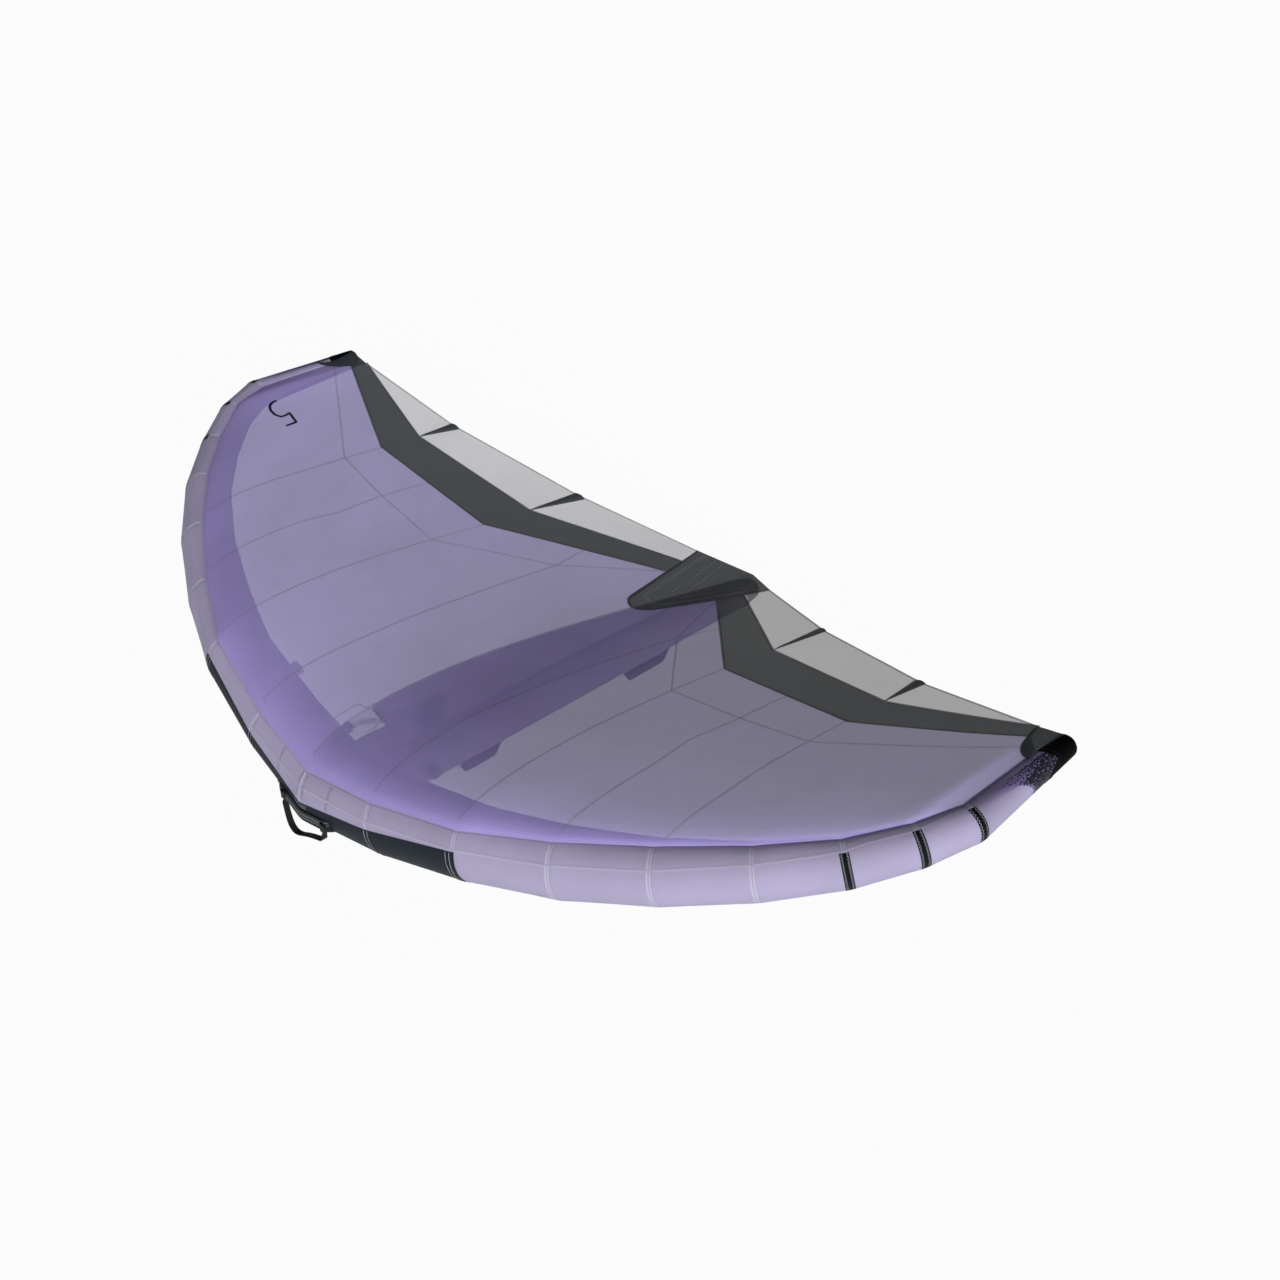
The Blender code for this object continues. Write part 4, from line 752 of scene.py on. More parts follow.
def woven(name, slot, color, rough, pitch, place=False, sheen=0.0, cloud=0.08):
    """Dense tube cloth: tight weave, faint shade change, soft creases."""
    darkest, dark = 0.004, 0.08
    specular = 0.02 if max(color) < darkest else 0.08 if max(color) < dark else 0.14
    shade = Shade(name, slot, color, rough, specular=specular)
    vector, u, v = shade.uv()
    shade.give("Sheen Weight", sheen)
    slow = shade.noise(vector, 3.0, 3.0, 0.6)
    fine = shade.noise(vector, 220.0)
    base = shade.mix(shade.ramp(slow, 0.3, 0.7), toned(color, 1.0 - cloud), toned(color, 1.0 + cloud))
    base = shade.mix(shade.mul(fine, 0.25), base, toned(color, 1.0 - cloud))
    threads = shade.weave(u, v, pitch)
    base = shade.mix(shade.mul(shade.ramp(threads, 0.2, -1.0), 0.10), base, (0.05, 0.05, 0.06))
    shade.give("Base Color", tip_speckle(shade, vector, base) if place else base)
    wrinkle = shade.noise(vector, 14.0, 4.0, 0.6)
    shade.bump(shade.add(shade.mul(threads, 0.3), shade.mul(wrinkle, 2.4)), 0.0008, 0.8)
    shade.give("Roughness", shade.mul_add(fine, 0.2, rough - 0.1))
    return shade.material


def tip_speckle(shade, vector, base):
    """Violet that breaks up into black specks towards the tip caps."""
    _, station, degrees = shade.uv("Place")
    reach = shade.math('ABSOLUTE', station)
    around = shade.math('SUBTRACT', degrees, shade.mul(shade.math('GREATER_THAN', degrees, 60.0), 360.0))
    away = shade.math('DIVIDE', shade.add(around, 132.0), 60.0)
    away = shade.math('MINIMUM', shade.mul(away, away), 3.0)
    beyond = shade.math('SUBTRACT', reach, shade.mul_add(away, -0.11, 8.51))
    softness = shade.mul_add(shade.ramp(away, 0.8, 1.6), 0.36, 0.03)
    rise = shade.math('DIVIDE', beyond, softness)
    past = shade.math('GREATER_THAN', rise, 0.0)
    outer = shade.ramp(around, -12.0, -40.0)
    violet = shade.mul(shade.ramp(rise, -0.7, 0.1), shade.ramp(away, 0.5, 1.2))
    violet = shade.mul(shade.math('MAXIMUM', violet, past), outer)
    base = shade.mix(shade.mul(violet, 0.85), base, rgb(112, 98, 156))
    specks = shade.noise(vector, 190.0, 1.0)
    level = shade.mul_add(shade.math('MINIMUM', shade.math('MAXIMUM', rise, 0.0), 1.3), 0.16, 0.42)
    chosen = shade.mul(shade.math('GREATER_THAN', shade.mul(level, outer), specks), past)
    return shade.mix(chosen, base, rgb(16, 18, 24))


def stitched(name, slot, color, thread, rough, rows, width, alpha=1.0, amplitude=0.0022, pitch=0.0085,
             size=0.0008):
    """Tape with rows of zigzag stitches across its width."""
    shade = Shade(name, slot, color, rough, specular=0.05 if max(color) < 0.08 else 0.14)
    vector, u, v = shade.uv()
    wave = shade.mul_add(shade.math('PINGPONG', u, pitch * 0.5), 4.0 * amplitude / pitch, -amplitude)
    found = None
    for row in rows:
        gap = shade.math('SUBTRACT', shade.math('SUBTRACT', v, width * row), wave)
        mark = shade.ramp(shade.math('ABSOLUTE', gap), size * 1.4, size * 0.7)
        found = mark if found is None else shade.math('MAXIMUM', found, mark)
    base = shade.mix(shade.mul(shade.noise(vector, 240.0), 0.3), color, toned(color, 0.75))
    shade.give("Base Color", shade.mix(found, base, thread))
    edge = shade.ramp(shade.math('PINGPONG', v, width * 0.5), 0.0, 0.0012)
    height = shade.add(shade.mul(found, 1.4), shade.mul(shade.weave(u, v, 0.0016), 0.25))
    shade.bump(shade.add(height, edge), 0.0006, 0.8)
    if alpha < 1.0:
        shade.give("Alpha", shade.math('MAXIMUM', found, alpha))
    return shade.material


def webbing(name, color):
    shade = Shade(name, "webbing", color, 0.7)
    vector, u, v = shade.uv()
    shade.give("Sheen Weight", 0.03)
    twill = shade.wave(shade.add(u, shade.math('PINGPONG', v, 0.003)), 0.0022)
    shade.give("Base Color", shade.mix(shade.ramp(twill, -1.0, 1.0), toned(color, 0.7), toned(color, 1.25)))
    fine = shade.noise(vector, 300.0)
    shade.bump(shade.add(twill, fine), 0.0004, 0.9)
    shade.give("Roughness", shade.mul_add(fine, 0.2, 0.6))
    return shade.material


def moulded(name, slot, color, rough, grain, scale, metallic=0.0, stretch=None, alpha=1.0):
    """Hard or foam material in object space, for the pieces kept from the solids."""
    shade = Shade(name, slot, color, rough, metallic, 0.4)
    vector = shade.node("ShaderNodeTexCoord").outputs["Object"]
    if stretch:
        vector = shade.stretch(vector, stretch)
    fine = shade.noise(vector, scale, 3.0, 0.6)
    slow = shade.noise(vector, 30.0)
    base = shade.mix(shade.ramp(slow, 0.35, 0.65), toned(color, 0.88), toned(color, 1.12))
    shade.give("Base Color", shade.mix(shade.mul(fine, 0.3), base, toned(color, 0.8)))
    shade.bump(fine, grain, 0.7)
    shade.give("Roughness", shade.mul_add(fine, 0.22, rough - 0.11))
    if alpha < 1.0:
        shade.give("Alpha", alpha)
    return shade.material


SCUFF = rgb(31, 38, 44)
PATCH_GREY = rgb(72, 76, 80)
CANOPY = ripstop("canopy_cloth", "lavender_cloth", rgb(165, 153, 216), rgb(145, 134, 191), 0.55, 0.008, 0.87,
                 streak=2.5)
TIP_PATCH = ripstop("tip_patch_cloth", "dark_cloth", rgb(56, 61, 65), rgb(66, 71, 75), 0.55, 0.006, 0.965)
BAND = ripstop("band_cloth", "dark_cloth", rgb(68, 73, 77), rgb(82, 87, 91), 0.5, 0.006, 0.955)
PALE = ripstop("pale_cloth", "pale_cloth", rgb(230, 230, 235), rgb(200, 200, 206), 0.45, 0.006, 0.74)
CENTRE_PATCH = ripstop("centre_patch_cloth", "dark_cloth", PATCH_GREY, rgb(82, 86, 90), 0.55, 0.006, 0.955)
TUBE = woven("tube_cloth", "lavender_tube", rgb(168, 161, 192), 0.6, 0.0018, place=True, sheen=0.05)
BLACK = woven("scuff_cloth", "black_cloth", SCUFF, 0.6, 0.0022, cloud=0.15)
CAP = woven("cap_cloth", "black_cloth", rgb(3, 3, 4), 0.6, 0.0022, cloud=0.15)
FILM = woven("bladder_film", "film", rgb(205, 205, 210), 0.3, 0.004)
PAD = woven("pad_cloth", "foam", rgb(36, 40, 50), 0.7, 0.0024, cloud=0.12)
NUMERAL = woven("numeral_film", "dark_cloth", rgb(34, 34, 48), 0.5, 0.002)
DISC = woven("disc_cloth", "lavender_cloth", rgb(124, 114, 156), 0.55, 0.002)
WEB = webbing("webbing_cloth", rgb(46, 49, 50))
LOOP_WEB = webbing("loop_webbing", rgb(13, 15, 17))
GRIP = moulded("grip_foam", "foam", rgb(36, 40, 45), 0.75, 0.0006, 900.0)
PLASTIC = moulded("moulded_plastic", "plastic", rgb(44, 47, 52), 0.42, 0.0002, 700.0)
PALE_PLASTIC = moulded("pale_plastic", "plastic", rgb(176, 169, 200), 0.42, 0.0002, 700.0)
STEEL = moulded("brushed_steel", "steel", rgb(188, 190, 194), 0.3, 0.00012, 500.0, metallic=1.0,
                stretch=(1.0, 9.0, 1.0))
BATTEN = moulded("batten_laminate", "batten", rgb(205, 198, 160), 0.45, 0.0002, 400.0, stretch=(6.0, 1.0, 1.0))
HOSE = moulded("hose_film", "film", rgb(206, 201, 220), 0.35, 0.0003, 260.0, alpha=0.35)
TEETH = moulded("zip_teeth", "plastic", rgb(26, 28, 31), 0.4, 0.0003, 500.0)
CANOPY_SEAM = stitched("canopy_seam", "lavender_cloth", rgb(150, 141, 176), rgb(150, 150, 140), 0.55, (0.5,),
                       0.009, alpha=0.08, amplitude=0.0014, pitch=0.009, size=0.0009)
TUBE_SEAM = stitched("tube_seam", "lavender_tube", rgb(170, 164, 192), rgb(214, 210, 226), 0.6, (0.22, 0.78),
                     0.016)
FRONT_SEAM = stitched("front_seam", "lavender_tube", rgb(170, 161, 199), rgb(136, 131, 150), 0.6, (0.25, 0.75),
                      0.016)
LIGHT_SEAM = stitched("light_seam", "lavender_tube", rgb(172, 165, 194), rgb(190, 185, 206), 0.6, (0.5,), 0.009)
GREY_SEAM = stitched("grey_seam", "lavender_tube", rgb(168, 161, 190), rgb(134, 130, 148), 0.6, (0.3, 0.7),
                     0.012)
BAND_STITCH = stitched("band_stitch", "black_cloth", rgb(17, 21, 27), rgb(225, 226, 230), 0.6, (0.2, 0.8), 0.025,
                       amplitude=0.0024, pitch=0.009, size=0.0004)
SCUFF_STITCH = stitched("scuff_stitch", "black_cloth", SCUFF, rgb(205, 207, 212), 0.6, (0.15, 0.85), 0.020,
                        amplitude=0.0006, pitch=0.009, size=0.0006)
CAP_STITCH = stitched("cap_stitch", "black_cloth", rgb(4, 4, 5), rgb(20, 22, 25), 0.6, (0.3, 0.7), 0.010,
                      amplitude=0.0008)
HEM = stitched("hem_tape", "pale_cloth", rgb(206, 206, 212), rgb(140, 142, 146), 0.55, (0.5,), 0.010, alpha=0.5,
               amplitude=0.0010)
DARK_STITCH = stitched("dark_stitch", "dark_cloth", rgb(58, 62, 65), rgb(112, 114, 116), 0.55, (0.5,), 0.008,
                       alpha=0.6, amplitude=0.0010)
STRAP = stitched("handle_strap", "webbing", rgb(66, 67, 70), rgb(140, 140, 142), 0.6, (0.18, 0.82), 0.017,
                 amplitude=0.0006, size=0.0007)
BOX_STITCH = stitched("box_stitch", "webbing", SCUFF, rgb(176, 178, 184), 0.6, (0.15, 0.5, 0.85), 0.020,
                      pitch=0.006, size=0.0006)
PATCH_STITCH = stitched("patch_stitch", "dark_cloth", PATCH_GREY, rgb(150, 152, 160), 0.55, (0.5,), 0.006,
                        alpha=0.3, amplitude=0.0004, size=0.0013)


# Valves and ports

BARREL_HEIGHT = 21.0 * MM
VALVE_HOLE = 0.021
PORT_HOLE = 0.010


def strut_side_frame(share, side):
    """Frame on the flat of the solid strut's side at a share of the chord."""
    y = -CHORD * share
    z, radius = strut_at(y)
    return frame_at((side * radius * FACET, y, z), (side, 0.0, 0.0), (0.0, 0.0, 1.0))


INFLATE_VALVE = strut_side_frame(0.840, 1.0)
STRUT_PORT = strut_side_frame(0.800, -1.0)
TUBE_PORT = facet_frame(-0.62, 7)
DEFLATE_VALVE = facet_frame(-1.5, 6)


def build_spring():
    """Coil between the valve's guide and the plunger's button, built at one fixed length."""
    low, high = BARREL_HEIGHT - 22.0 * MM, BARREL_HEIGHT - 11.0 * MM
    end, coil, wire = 0.75 * MM, 4.3 * MM, 0.45 * MM
    path = []
    for index in range(97):
        turn = math.tau * index / 24
        height = between(low + end, high - end, index / 96)
        path.append(INFLATE_VALVE @ Vector((coil * math.cos(turn), coil * math.sin(turn), height)))
    spring = make("inflate_spring_skin", [tube_part(path, wire, 10, up=(1.0, 0.0, 0.0))], STEEL,
                  "inflate_valve_spring")
    weld(spring, 0.001 * MM)
    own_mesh(spring)


def build_hose():
    neck = (0.3 + 2.5 + 18.0) * MM
    ends = [placing @ Vector((0.0, 0.0, neck + SEAT_GAP)) for placing in (TUBE_PORT, STRUT_PORT)]
    outs = [placing.to_3x3() @ Vector((0.0, 0.0, 1.0)) for placing in (TUBE_PORT, STRUT_PORT)]
    start = ends[0] + outs[0] * (0.034 + 0.016 - neck)
    finish = ends[1] + outs[1] * 0.018
    a, b = start + outs[0] * 0.07875, finish + outs[1] * 0.07875
    path = [ends[0], between(ends[0], start, 0.5)]
    for index in range(45):
        t = index / 44
        path.append(start * (1 - t) ** 3 + a * (3 * t * (1 - t) ** 2) + b * (3 * t * t * (1 - t)) + finish * t ** 3)
    path.append(ends[1])
    make("transfer_hose_skin", [tube_part(path, 0.009, 24)], HOSE, "transfer_hose")


def dress_solids():
    """Materials on the solids that stay as they are."""
    battens = ["batten_%s_%s" % (place, side) for place in ("inner", "outer") for side in ("left", "right")]
    for material, nodes in (
            (PLASTIC, ["inflate_valve_" + part for part in ("body", "collar", "cap", "plunger", "guide")]),
            (PALE_PLASTIC, ["deflate_valve_body", "deflate_valve_collar", "deflate_valve_cap",
                            "leading_edge_port", "strut_port", "hose_clamp_body", "hose_clamp_lever"]),
            (STEEL, ["inflate_cap_pin", "deflate_cap_pin", "leading_edge_zip_slider", "strut_zip_slider"]),
            (BATTEN, battens)):
        for name in nodes:
            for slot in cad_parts[name].material_slots:
                slot.material = material


# Tubes and bladders

def build_casing():
    turns = [-180.0 + 4.5 * step for step in range(81)]
    lifts = (85.0, 65.0, 45.0, 22.0)
    columns = [(-9.05, [dome_point(turn, math.radians(lift), -1.0) for turn in turns]) for lift in lifts]
    columns += [(station, [skin_point(station, turn) for turn in turns]) for station in both_ways(le_stations())]
    columns += [(9.05, [dome_point(turn, math.radians(lift), 1.0) for turn in turns]) for lift in lifts[::-1]]
    place = [(station, turn) for station, _ in columns for turn in turns]
    casing = make_grid("leading_edge_skin", [column for _, column in columns], TUBE, "leading_edge_casing",
                       place=place)
    weld(casing, 0.01 * MM, fill=True)
    for polygon in casing.data.polygons:
        polygon.use_smooth = True
    pierce(casing, DEFLATE_VALVE, VALVE_HOLE)
    pierce(casing, TUBE_PORT, PORT_HOLE)


def strut_ys():
    out = [STRUT_Y[0] + 0.02]
    for near, far in zip(STRUT_Y, STRUT_Y[1:]):
        count = max(int((far - near) / 0.04), 1)
        out += [between(near, far, (index + 1) / count) for index in range(count) if index or near != STRUT_Y[0]]
    return sorted(set(round(y, 6) for y in out))


def build_strut():
    turns = [-90.0 + 7.5 * step for step in range(49)]
    start = strut_ys()[0]
    z, radius = strut_at(start)
    columns = []
    for lift in (86.0, 72.0, 58.0, 44.0, 30.0, 15.0):
        y = start - 0.095 * math.sin(math.radians(lift))
        columns.append((y, strut_ring(y, z, radius * math.cos(math.radians(lift)), turns)))
    columns += [(y, [strut_point(y, turn) for turn in turns]) for y in strut_ys()]
    place = [(y, turn) for y, _ in columns for turn in turns]
    casing = make_grid("strut_skin", [column for _, column in columns], TUBE, "strut_casing", place=place)
    weld(casing, 0.01 * MM, fill=True)
    for polygon in casing.data.polygons:
        polygon.use_smooth = len(polygon.vertices) < 8
    pierce(casing, INFLATE_VALVE, VALVE_HOLE)
    pierce(casing, STRUT_PORT, PORT_HOLE)


def build_bladders():
    turns = [9.0 * step for step in range(41)]
    half = [0.0] + [index + share for index in range(LAST) for share in (0.06, 0.5, 0.94, 1.0)]
    grid = [[tube_point(station, turn - 180.0, -FILM_INSET) for turn in turns] for station in both_ways(half)]
    make_grid("leading_edge_bladder_skin", grid, FILM, "leading_edge_bladder")
    ys = spread(JOINTS[0].y + LE_RADIUS + 0.05, STRUT_Y[-1] - 0.06, 30)
    grid = [[strut_point(y, turn, -FILM_INSET) for turn in turns] for y in ys]
    make_grid("strut_bladder_skin", grid, FILM, "strut_bladder")


def build_tube_seams():
    turns = degrees_range(0.0, 360.0, 5.0)
    rings = [grid_part(ring_grid(float(index), 0.008, turns, 0.5 * MM), 0.016) for index in range(LAST)]
    parts = [part for ring in rings[1:] for part in each_side(ring)] + rings[:1]
    make("tube_joint_seams", parts, TUBE_SEAM)
    line = [(0.0, -24.0), (1.05, -27.0), (2.08, -29.5), (2.68, -34.5), (3.05, -37.0), (3.97, -44.5),
            (4.96, -44.0), (5.74, -39.5), (6.35, -30.0), (6.93, -30.0), (7.9, -24.0)]
    parts = each_side(ribbon_part(tube_spots(along_line(line, 0.12), 0.6 * MM), 0.009))
    make("tube_long_seams", parts, LIGHT_SEAM)
    parts = []
    for line in ([(0.05, -39.5), (0.03, 22.0)], [(0.41, -39.5), (0.43, -7.0), (0.32, 36.0)],
                 [(1.04, -4.5), (0.82, 89.0)]):
        per = [max(int(abs(far[1] - near[1]) / 5.0), 2) for near, far in zip(line, line[1:])]
        dense = [tuple(spot) for spot in fill_in([Vector(spot) for spot in line], per)]
        parts += each_side(ribbon_part(tube_spots(dense, 0.6 * MM), 0.012))
    make("tube_cross_seams", parts, GREY_SEAM)
    line = [(place * 0.1, 0.0) for place in range(88)]
    parts = each_side(ribbon_part(tube_spots(line, 1.6 * MM), 0.016))
    make("canopy_front_tape", parts, FRONT_SEAM)
    parts = []
    for index, low, high in ((6.0, -40.0, -158.0), (7.0, -30.0, -152.0), (8.0, -35.0, -150.0)):
        parts += each_side(grid_part(ring_grid(index, 0.0125, degrees_range(low, high, 5.0), 1.0 * MM), 0.025))
    make("tube_dark_bands", parts, BAND_STITCH)


def scuff_high(station):
    return interpolate([0.0, 1.0, 2.02], [-46.0, -38.0, -31.0], abs(station))


def build_scuff():
    grid = [[skin_point(station, between(scuff_high(station), -144.0, row / 24), 1.1 * MM) for row in range(25)]
            for station in both_ways([s for s in le_stations() if s < 2.0] + [2.0, 2.02])]
    patch = make_grid("nose_scuff_skin", grid, BLACK, "nose_scuff_patch")
    parts = []
    for station in (1.0, 1.95):
        turns = degrees_range(scuff_high(station) - 1.5, -142.0, 5.0)
        parts += each_side(grid_part(ring_grid(station, 0.010, turns, UPPER_STITCH_LIFT), 0.020))
    lines = make("nose_scuff_stitching", parts, SCUFF_STITCH)


def cap_edge(turn):
    return interpolate([-234.0, -122.0, -91.0, -39.0, 0.0], [8.60, 8.72, 8.81, 8.76, 8.74], turn)


def build_tip_caps():
    turns = spread(-234.0, -5.0, 47)
    grid = []
    for turn in turns:
        column = [tube_point(between(cap_edge(turn), 9.0, row / 6), turn, SKIN_WALL) for row in range(7)]
        for lift in (15.0, 35.0, 55.0, 72.0, 86.0):
            spot = dome_point(turn, math.radians(lift), 1.0)
            column.append(spot + (spot - JOINTS[LAST]).normalized() * SKIN_WALL)
        grid.append(column)
    for side, sign in (("right", 1.0), ("left", -1.0)):
        cap = make_grid("tip_cap_skin_" + side, sided(grid, side), CAP, "tip_cap_" + side)
        spots = []
        for turn in turns:
            station = sign * (cap_edge(turn) + 0.03)
            spot = tube_point(station, turn, UPPER_STITCH_LIFT)
            spots.append((spot, tube_normal(spot, station, turn)))
        line = make("tip_cap_stitching_" + side, [ribbon_part(spots, 0.010)], CAP_STITCH)


# Canopy

def build_canopy():
    """One curved sheet from tip to tip, sewn to the tube in front and to the bands behind."""
    flat = [flat_point(spot.x, spot.y) for spot in SEAM_LINE]
    starts = [between(flat[0], flat[1], HALF_SPAN * share / JOINTS[1].x) for share in (0.0176, 0.078)]
    fronts = [flat[0]] + starts + flat[1:]
    rears = [flat_point(0.0, -0.626), flat_point(0.045, -0.600)] + LOW_POINTS
    per = [2, 5, 6, 10, 8, 8, 8, 7, 6]
    shares = [(row / 34) ** 1.5 for row in range(35)]
    grid = []
    for near, far in zip(fill_in(fronts[:len(rears)], per), fill_in(rears, per)):
        column = [lifted(between(near, far, share)) for share in shares]
        column[0].z = interpolate(SEAM_X, SEAM_Z, near.x)
        grid.append(column)
    edge = [tube_point(8.0 + 0.75 * share, 0.0, CLOTH_GAP) for share in shares]
    last = grid[-1]
    grid += [[between(a, b, step / 5) for a, b in zip(last, edge)] for step in range(1, 6)]
    sheet = make_grid("canopy_skin", mirror_columns(grid), CANOPY, "canopy_left", "canopy_right")
    build_canopy_seams()
    build_numeral()


def build_canopy_seams():
    tops = [(1.140, -1.014), (0.892, -1.034), (0.605, -1.033), (0.308, -0.712)]
    panels = [[(1.140, -1.21), (1.148, -1.334), (1.150, None)], [(0.876, -1.23), (0.896, -1.378), (0.896, None)],
              [(0.61, -1.40), (0.618, None)], [(0.289, -1.14), (0.28, -1.535), (0.296, None)]]
    lines = []
    for start, top, rest in zip((1.140, 0.892, 0.605, 0.345), tops, panels):
        end = rest[-1][0]
        lines.append([(start, line_at(LOW_LINE, start).y), top] + rest[:-1]
                     + [(end, interpolate(SEAM_X, SEAM_Y, end))])
    lines.append([(1.633, -0.713), (1.145, -1.015)] + tops[1:] + [(0.137, -0.352)])
    parts = [part for line in lines for part in each_side(surface_ribbon(line, 0.009))]
    centre = [(0.0, -CHORD * 0.326 - 0.01), (0.0, SEAM_Y[0] + 0.03)]
    tab = [(-0.044, -1.838), (-0.040, -1.796), (-0.038, -1.757), (-0.028, -1.747), (0.021, -1.735),
           (0.078, -1.746), (0.094, -1.780), (0.089, -1.810)]
    parts += [surface_ribbon(centre, 0.009), surface_ribbon(tab, 0.007)]
    return make("canopy_seams", parts, CANOPY_SEAM)


def build_numeral():
    points = [(1.547, -1.036), (1.546, -1.054), (1.534, -1.075), (1.510, -1.088), (1.478, -1.089),
              (1.457, -1.077), (1.456, -1.056), (1.463, -1.036), (1.402, -1.047), (1.399, -1.093)]
    return make("size_numeral", each_side(surface_ribbon(points, 0.0105, HEM_LIFT, step=0.004))[1:], NUMERAL)


def build_band(name, fronts, rears, per, material, node):
    grid = [[lifted(between(near, far, row / 8)) for row in range(9)]
            for near, far in zip(fill_in(fronts, per), fill_in(rears, per))]
    return [make_grid(name + "_" + side, sided(grid, side), material, node + "_" + side)
            for side in ("right", "left")]


def build_bands():
    right, left = build_band("chevron_skin", LOW_POINTS, HIGH_POINTS, [4, 4, 3, 5, 5, 3, 4], BAND, "chevron_band")
    parts = [part for line in (LOW_LINE, UP_LINE)
             for part in each_side(surface_ribbon([p.xy for p in line], 0.008))]
    edges = make("band_seams", parts, DARK_STITCH)
    xs = [TE_X[2], HALF_SPAN * 0.360, TE_X[3], HALF_SPAN * 0.5, TE_X[4], HALF_SPAN * 0.671, TE_X[5],
          HALF_SPAN * 0.8, HALF_SPAN * 0.9]
    corner = HIGH_POINTS[-1]
    front = HIGH_POINTS[:2] + [line_at(UP_LINE, x) for x in xs] + [corner]
    rear = [UNDER_CORNER] + [line_at(TE_LINE, x) for x in [HIGH_POINTS[1].x] + xs + [corner.x]]
    right, left = build_band("trailing_edge_skin", front, rear, [3, 5, 1, 1, 5, 5, 1, 1, 5, 4, 3], PALE,
                             "trailing_edge_band")
    line = [(x, interpolate(TE_X, TE_Y, x) - STITCH_PUSH) for x in TE_X[1:7]]
    hem = make("trailing_edge_hem", each_side(surface_ribbon(line, 0.010, HEM_LIFT)), HEM)


def build_patch():
    """Centre patch, from its rounded nose to the trailing edge."""
    front = [(0.0, -0.634), (0.012, -0.6325), (0.024, -0.628), (0.034, -0.6215), (0.043, -0.6135),
             (0.051, -0.605), (0.0575, -0.595), (0.064, -0.579), (0.080, -0.522), (0.0965, -0.462),
             (0.113, -0.403), (0.130, -0.342), (0.1455, -0.281), (0.161, -0.219), (0.1745, -0.166),
             (0.187, -0.120)]
    grid = []
    for index, (x, y) in enumerate(front):
        far = line_at(TE_LINE, 0.190 * (index / (len(front) - 1)) ** 1.15)
        grid.append([lifted(between(flat_point(x, y), far, row / 24), PATCH_LIFT) for row in range(25)])
    patch = make_grid("trailing_edge_patch_skin", mirror_columns(grid), CENTRE_PATCH, "trailing_edge_patch")
    lines = [
        [(0.159, -0.106), (0.102, -0.317), (0.044, -0.532), (0.025, -0.541), (0.0, -0.543)],
        [(0.150, -0.106), (0.093, -0.317), (0.036, -0.524), (0.020, -0.531), (0.0, -0.533)],
        [(0.117, -0.073), (0.026, -0.405), (0.0, -0.417)],
        [(0.091, -0.061), (0.015, -0.315), (0.0, -0.322)],
    ]
    parts = [part for line in lines for part in each_side(surface_ribbon(line, 0.006, UPPER_STITCH_LIFT))]
    stitch = make("centre_patch_stitching", parts, PATCH_STITCH)


def build_pockets():
    for number, share, flat, area in (("inner", 0.360, (0.05, 0.257), 0.00676),
                                      ("outer", 0.671, (0.047, 0.178), 0.00467)):
        x = HALF_SPAN * share
        front, rear = line_at(UP_LINE, x), line_at(TE_LINE, x)
        grid = []
        for row in range(25):
            t = row / 24
            middle = between(front, rear, t)
            width = between(0.004, 0.044, t)
            column = []
            for step in range(-6, 7):
                s = step / 6
                spot = flat_point(middle.x + s * width * 0.5, middle.y)
                spot.y = min(spot.y, interpolate(TE_X, TE_Y, spot.x))
                swell = 4.2 * MM * (1.0 - s * s) ** 0.7 * min(t * 6.0, 1.0)
                column.append(lifted(spot, 1.0 * MM + swell))
            grid.append(column)
        for side in ("right", "left"):
            pocket = make_grid("batten_pocket_skin_%s_%s" % (number, side), sided(grid, side), BAND,
                               "batten_pocket_%s_%s" % (number, side))


def build_tip_patches():
    """Corner patch that runs from the canopy over the cap to the tube's outer end."""
    outline = [(1.596, -0.584), (1.604, -0.628), (1.613, -0.664), (1.622, -0.698), (1.640, -0.731),
               (1.660, -0.751), (1.682, -0.760)]
    over_tube = 2.4 * MM
    grid = []
    for index, (x, y) in enumerate(outline):
        near = lifted(flat_point(x, y), TIP_PATCH_LIFT)
        share = 1.0 - index / (len(outline) - 1)
        far = tube_point(between(8.74, 9.0, share ** 0.7), between(-6.0, -34.0, share), over_tube)
        column = []
        for row in range(17):
            t = row / 16
            spot = between(near, far, t)
            if t < 0.6:
                spot.z = between(lifted(spot, TIP_PATCH_LIFT).z, spot.z, t / 0.6)
            column.append(off_tube(spot, over_tube))
        grid.append(column)
    for side in ("right", "left"):
        patch = make_grid("tip_patch_skin_" + side, sided(grid, side), TIP_PATCH, "tip_patch_" + side)


# Strut's end cap and fin

def build_end_cap():
    start, rear = -0.080, STRUT_Y[-1]
    turns = [7.5 * step for step in range(49)]
    wall = 3.3 * MM
    grid = [[strut_point(start, turn, 0.8 * MM) for turn in turns]]
    for y in (start, start + 0.004, -0.06, -0.04, -0.02, rear - 0.004):
        grid.append([strut_point(y, turn, wall) for turn in turns])
    z, radius = strut_at(rear)
    for lift in (0.0, 20.0, 40.0, 60.0, 75.0, 88.0):
        lift = math.radians(lift)
        grid.append(strut_ring(rear + 0.012 * math.sin(lift), z, (radius + wall) * math.cos(lift), turns))
    make_grid("strut_end_cap_skin", grid, CAP, "strut_end_cap")


def fin_low(y):
    z, radius = strut_at(y)
    over = y - JOINTS[0].y
    low = z + radius * 0.985
    if abs(over) < RADII[0]:
        low = max(low, JOINTS[0].z + math.sqrt(RADII[0] ** 2 - over ** 2) * 0.995)
    return low


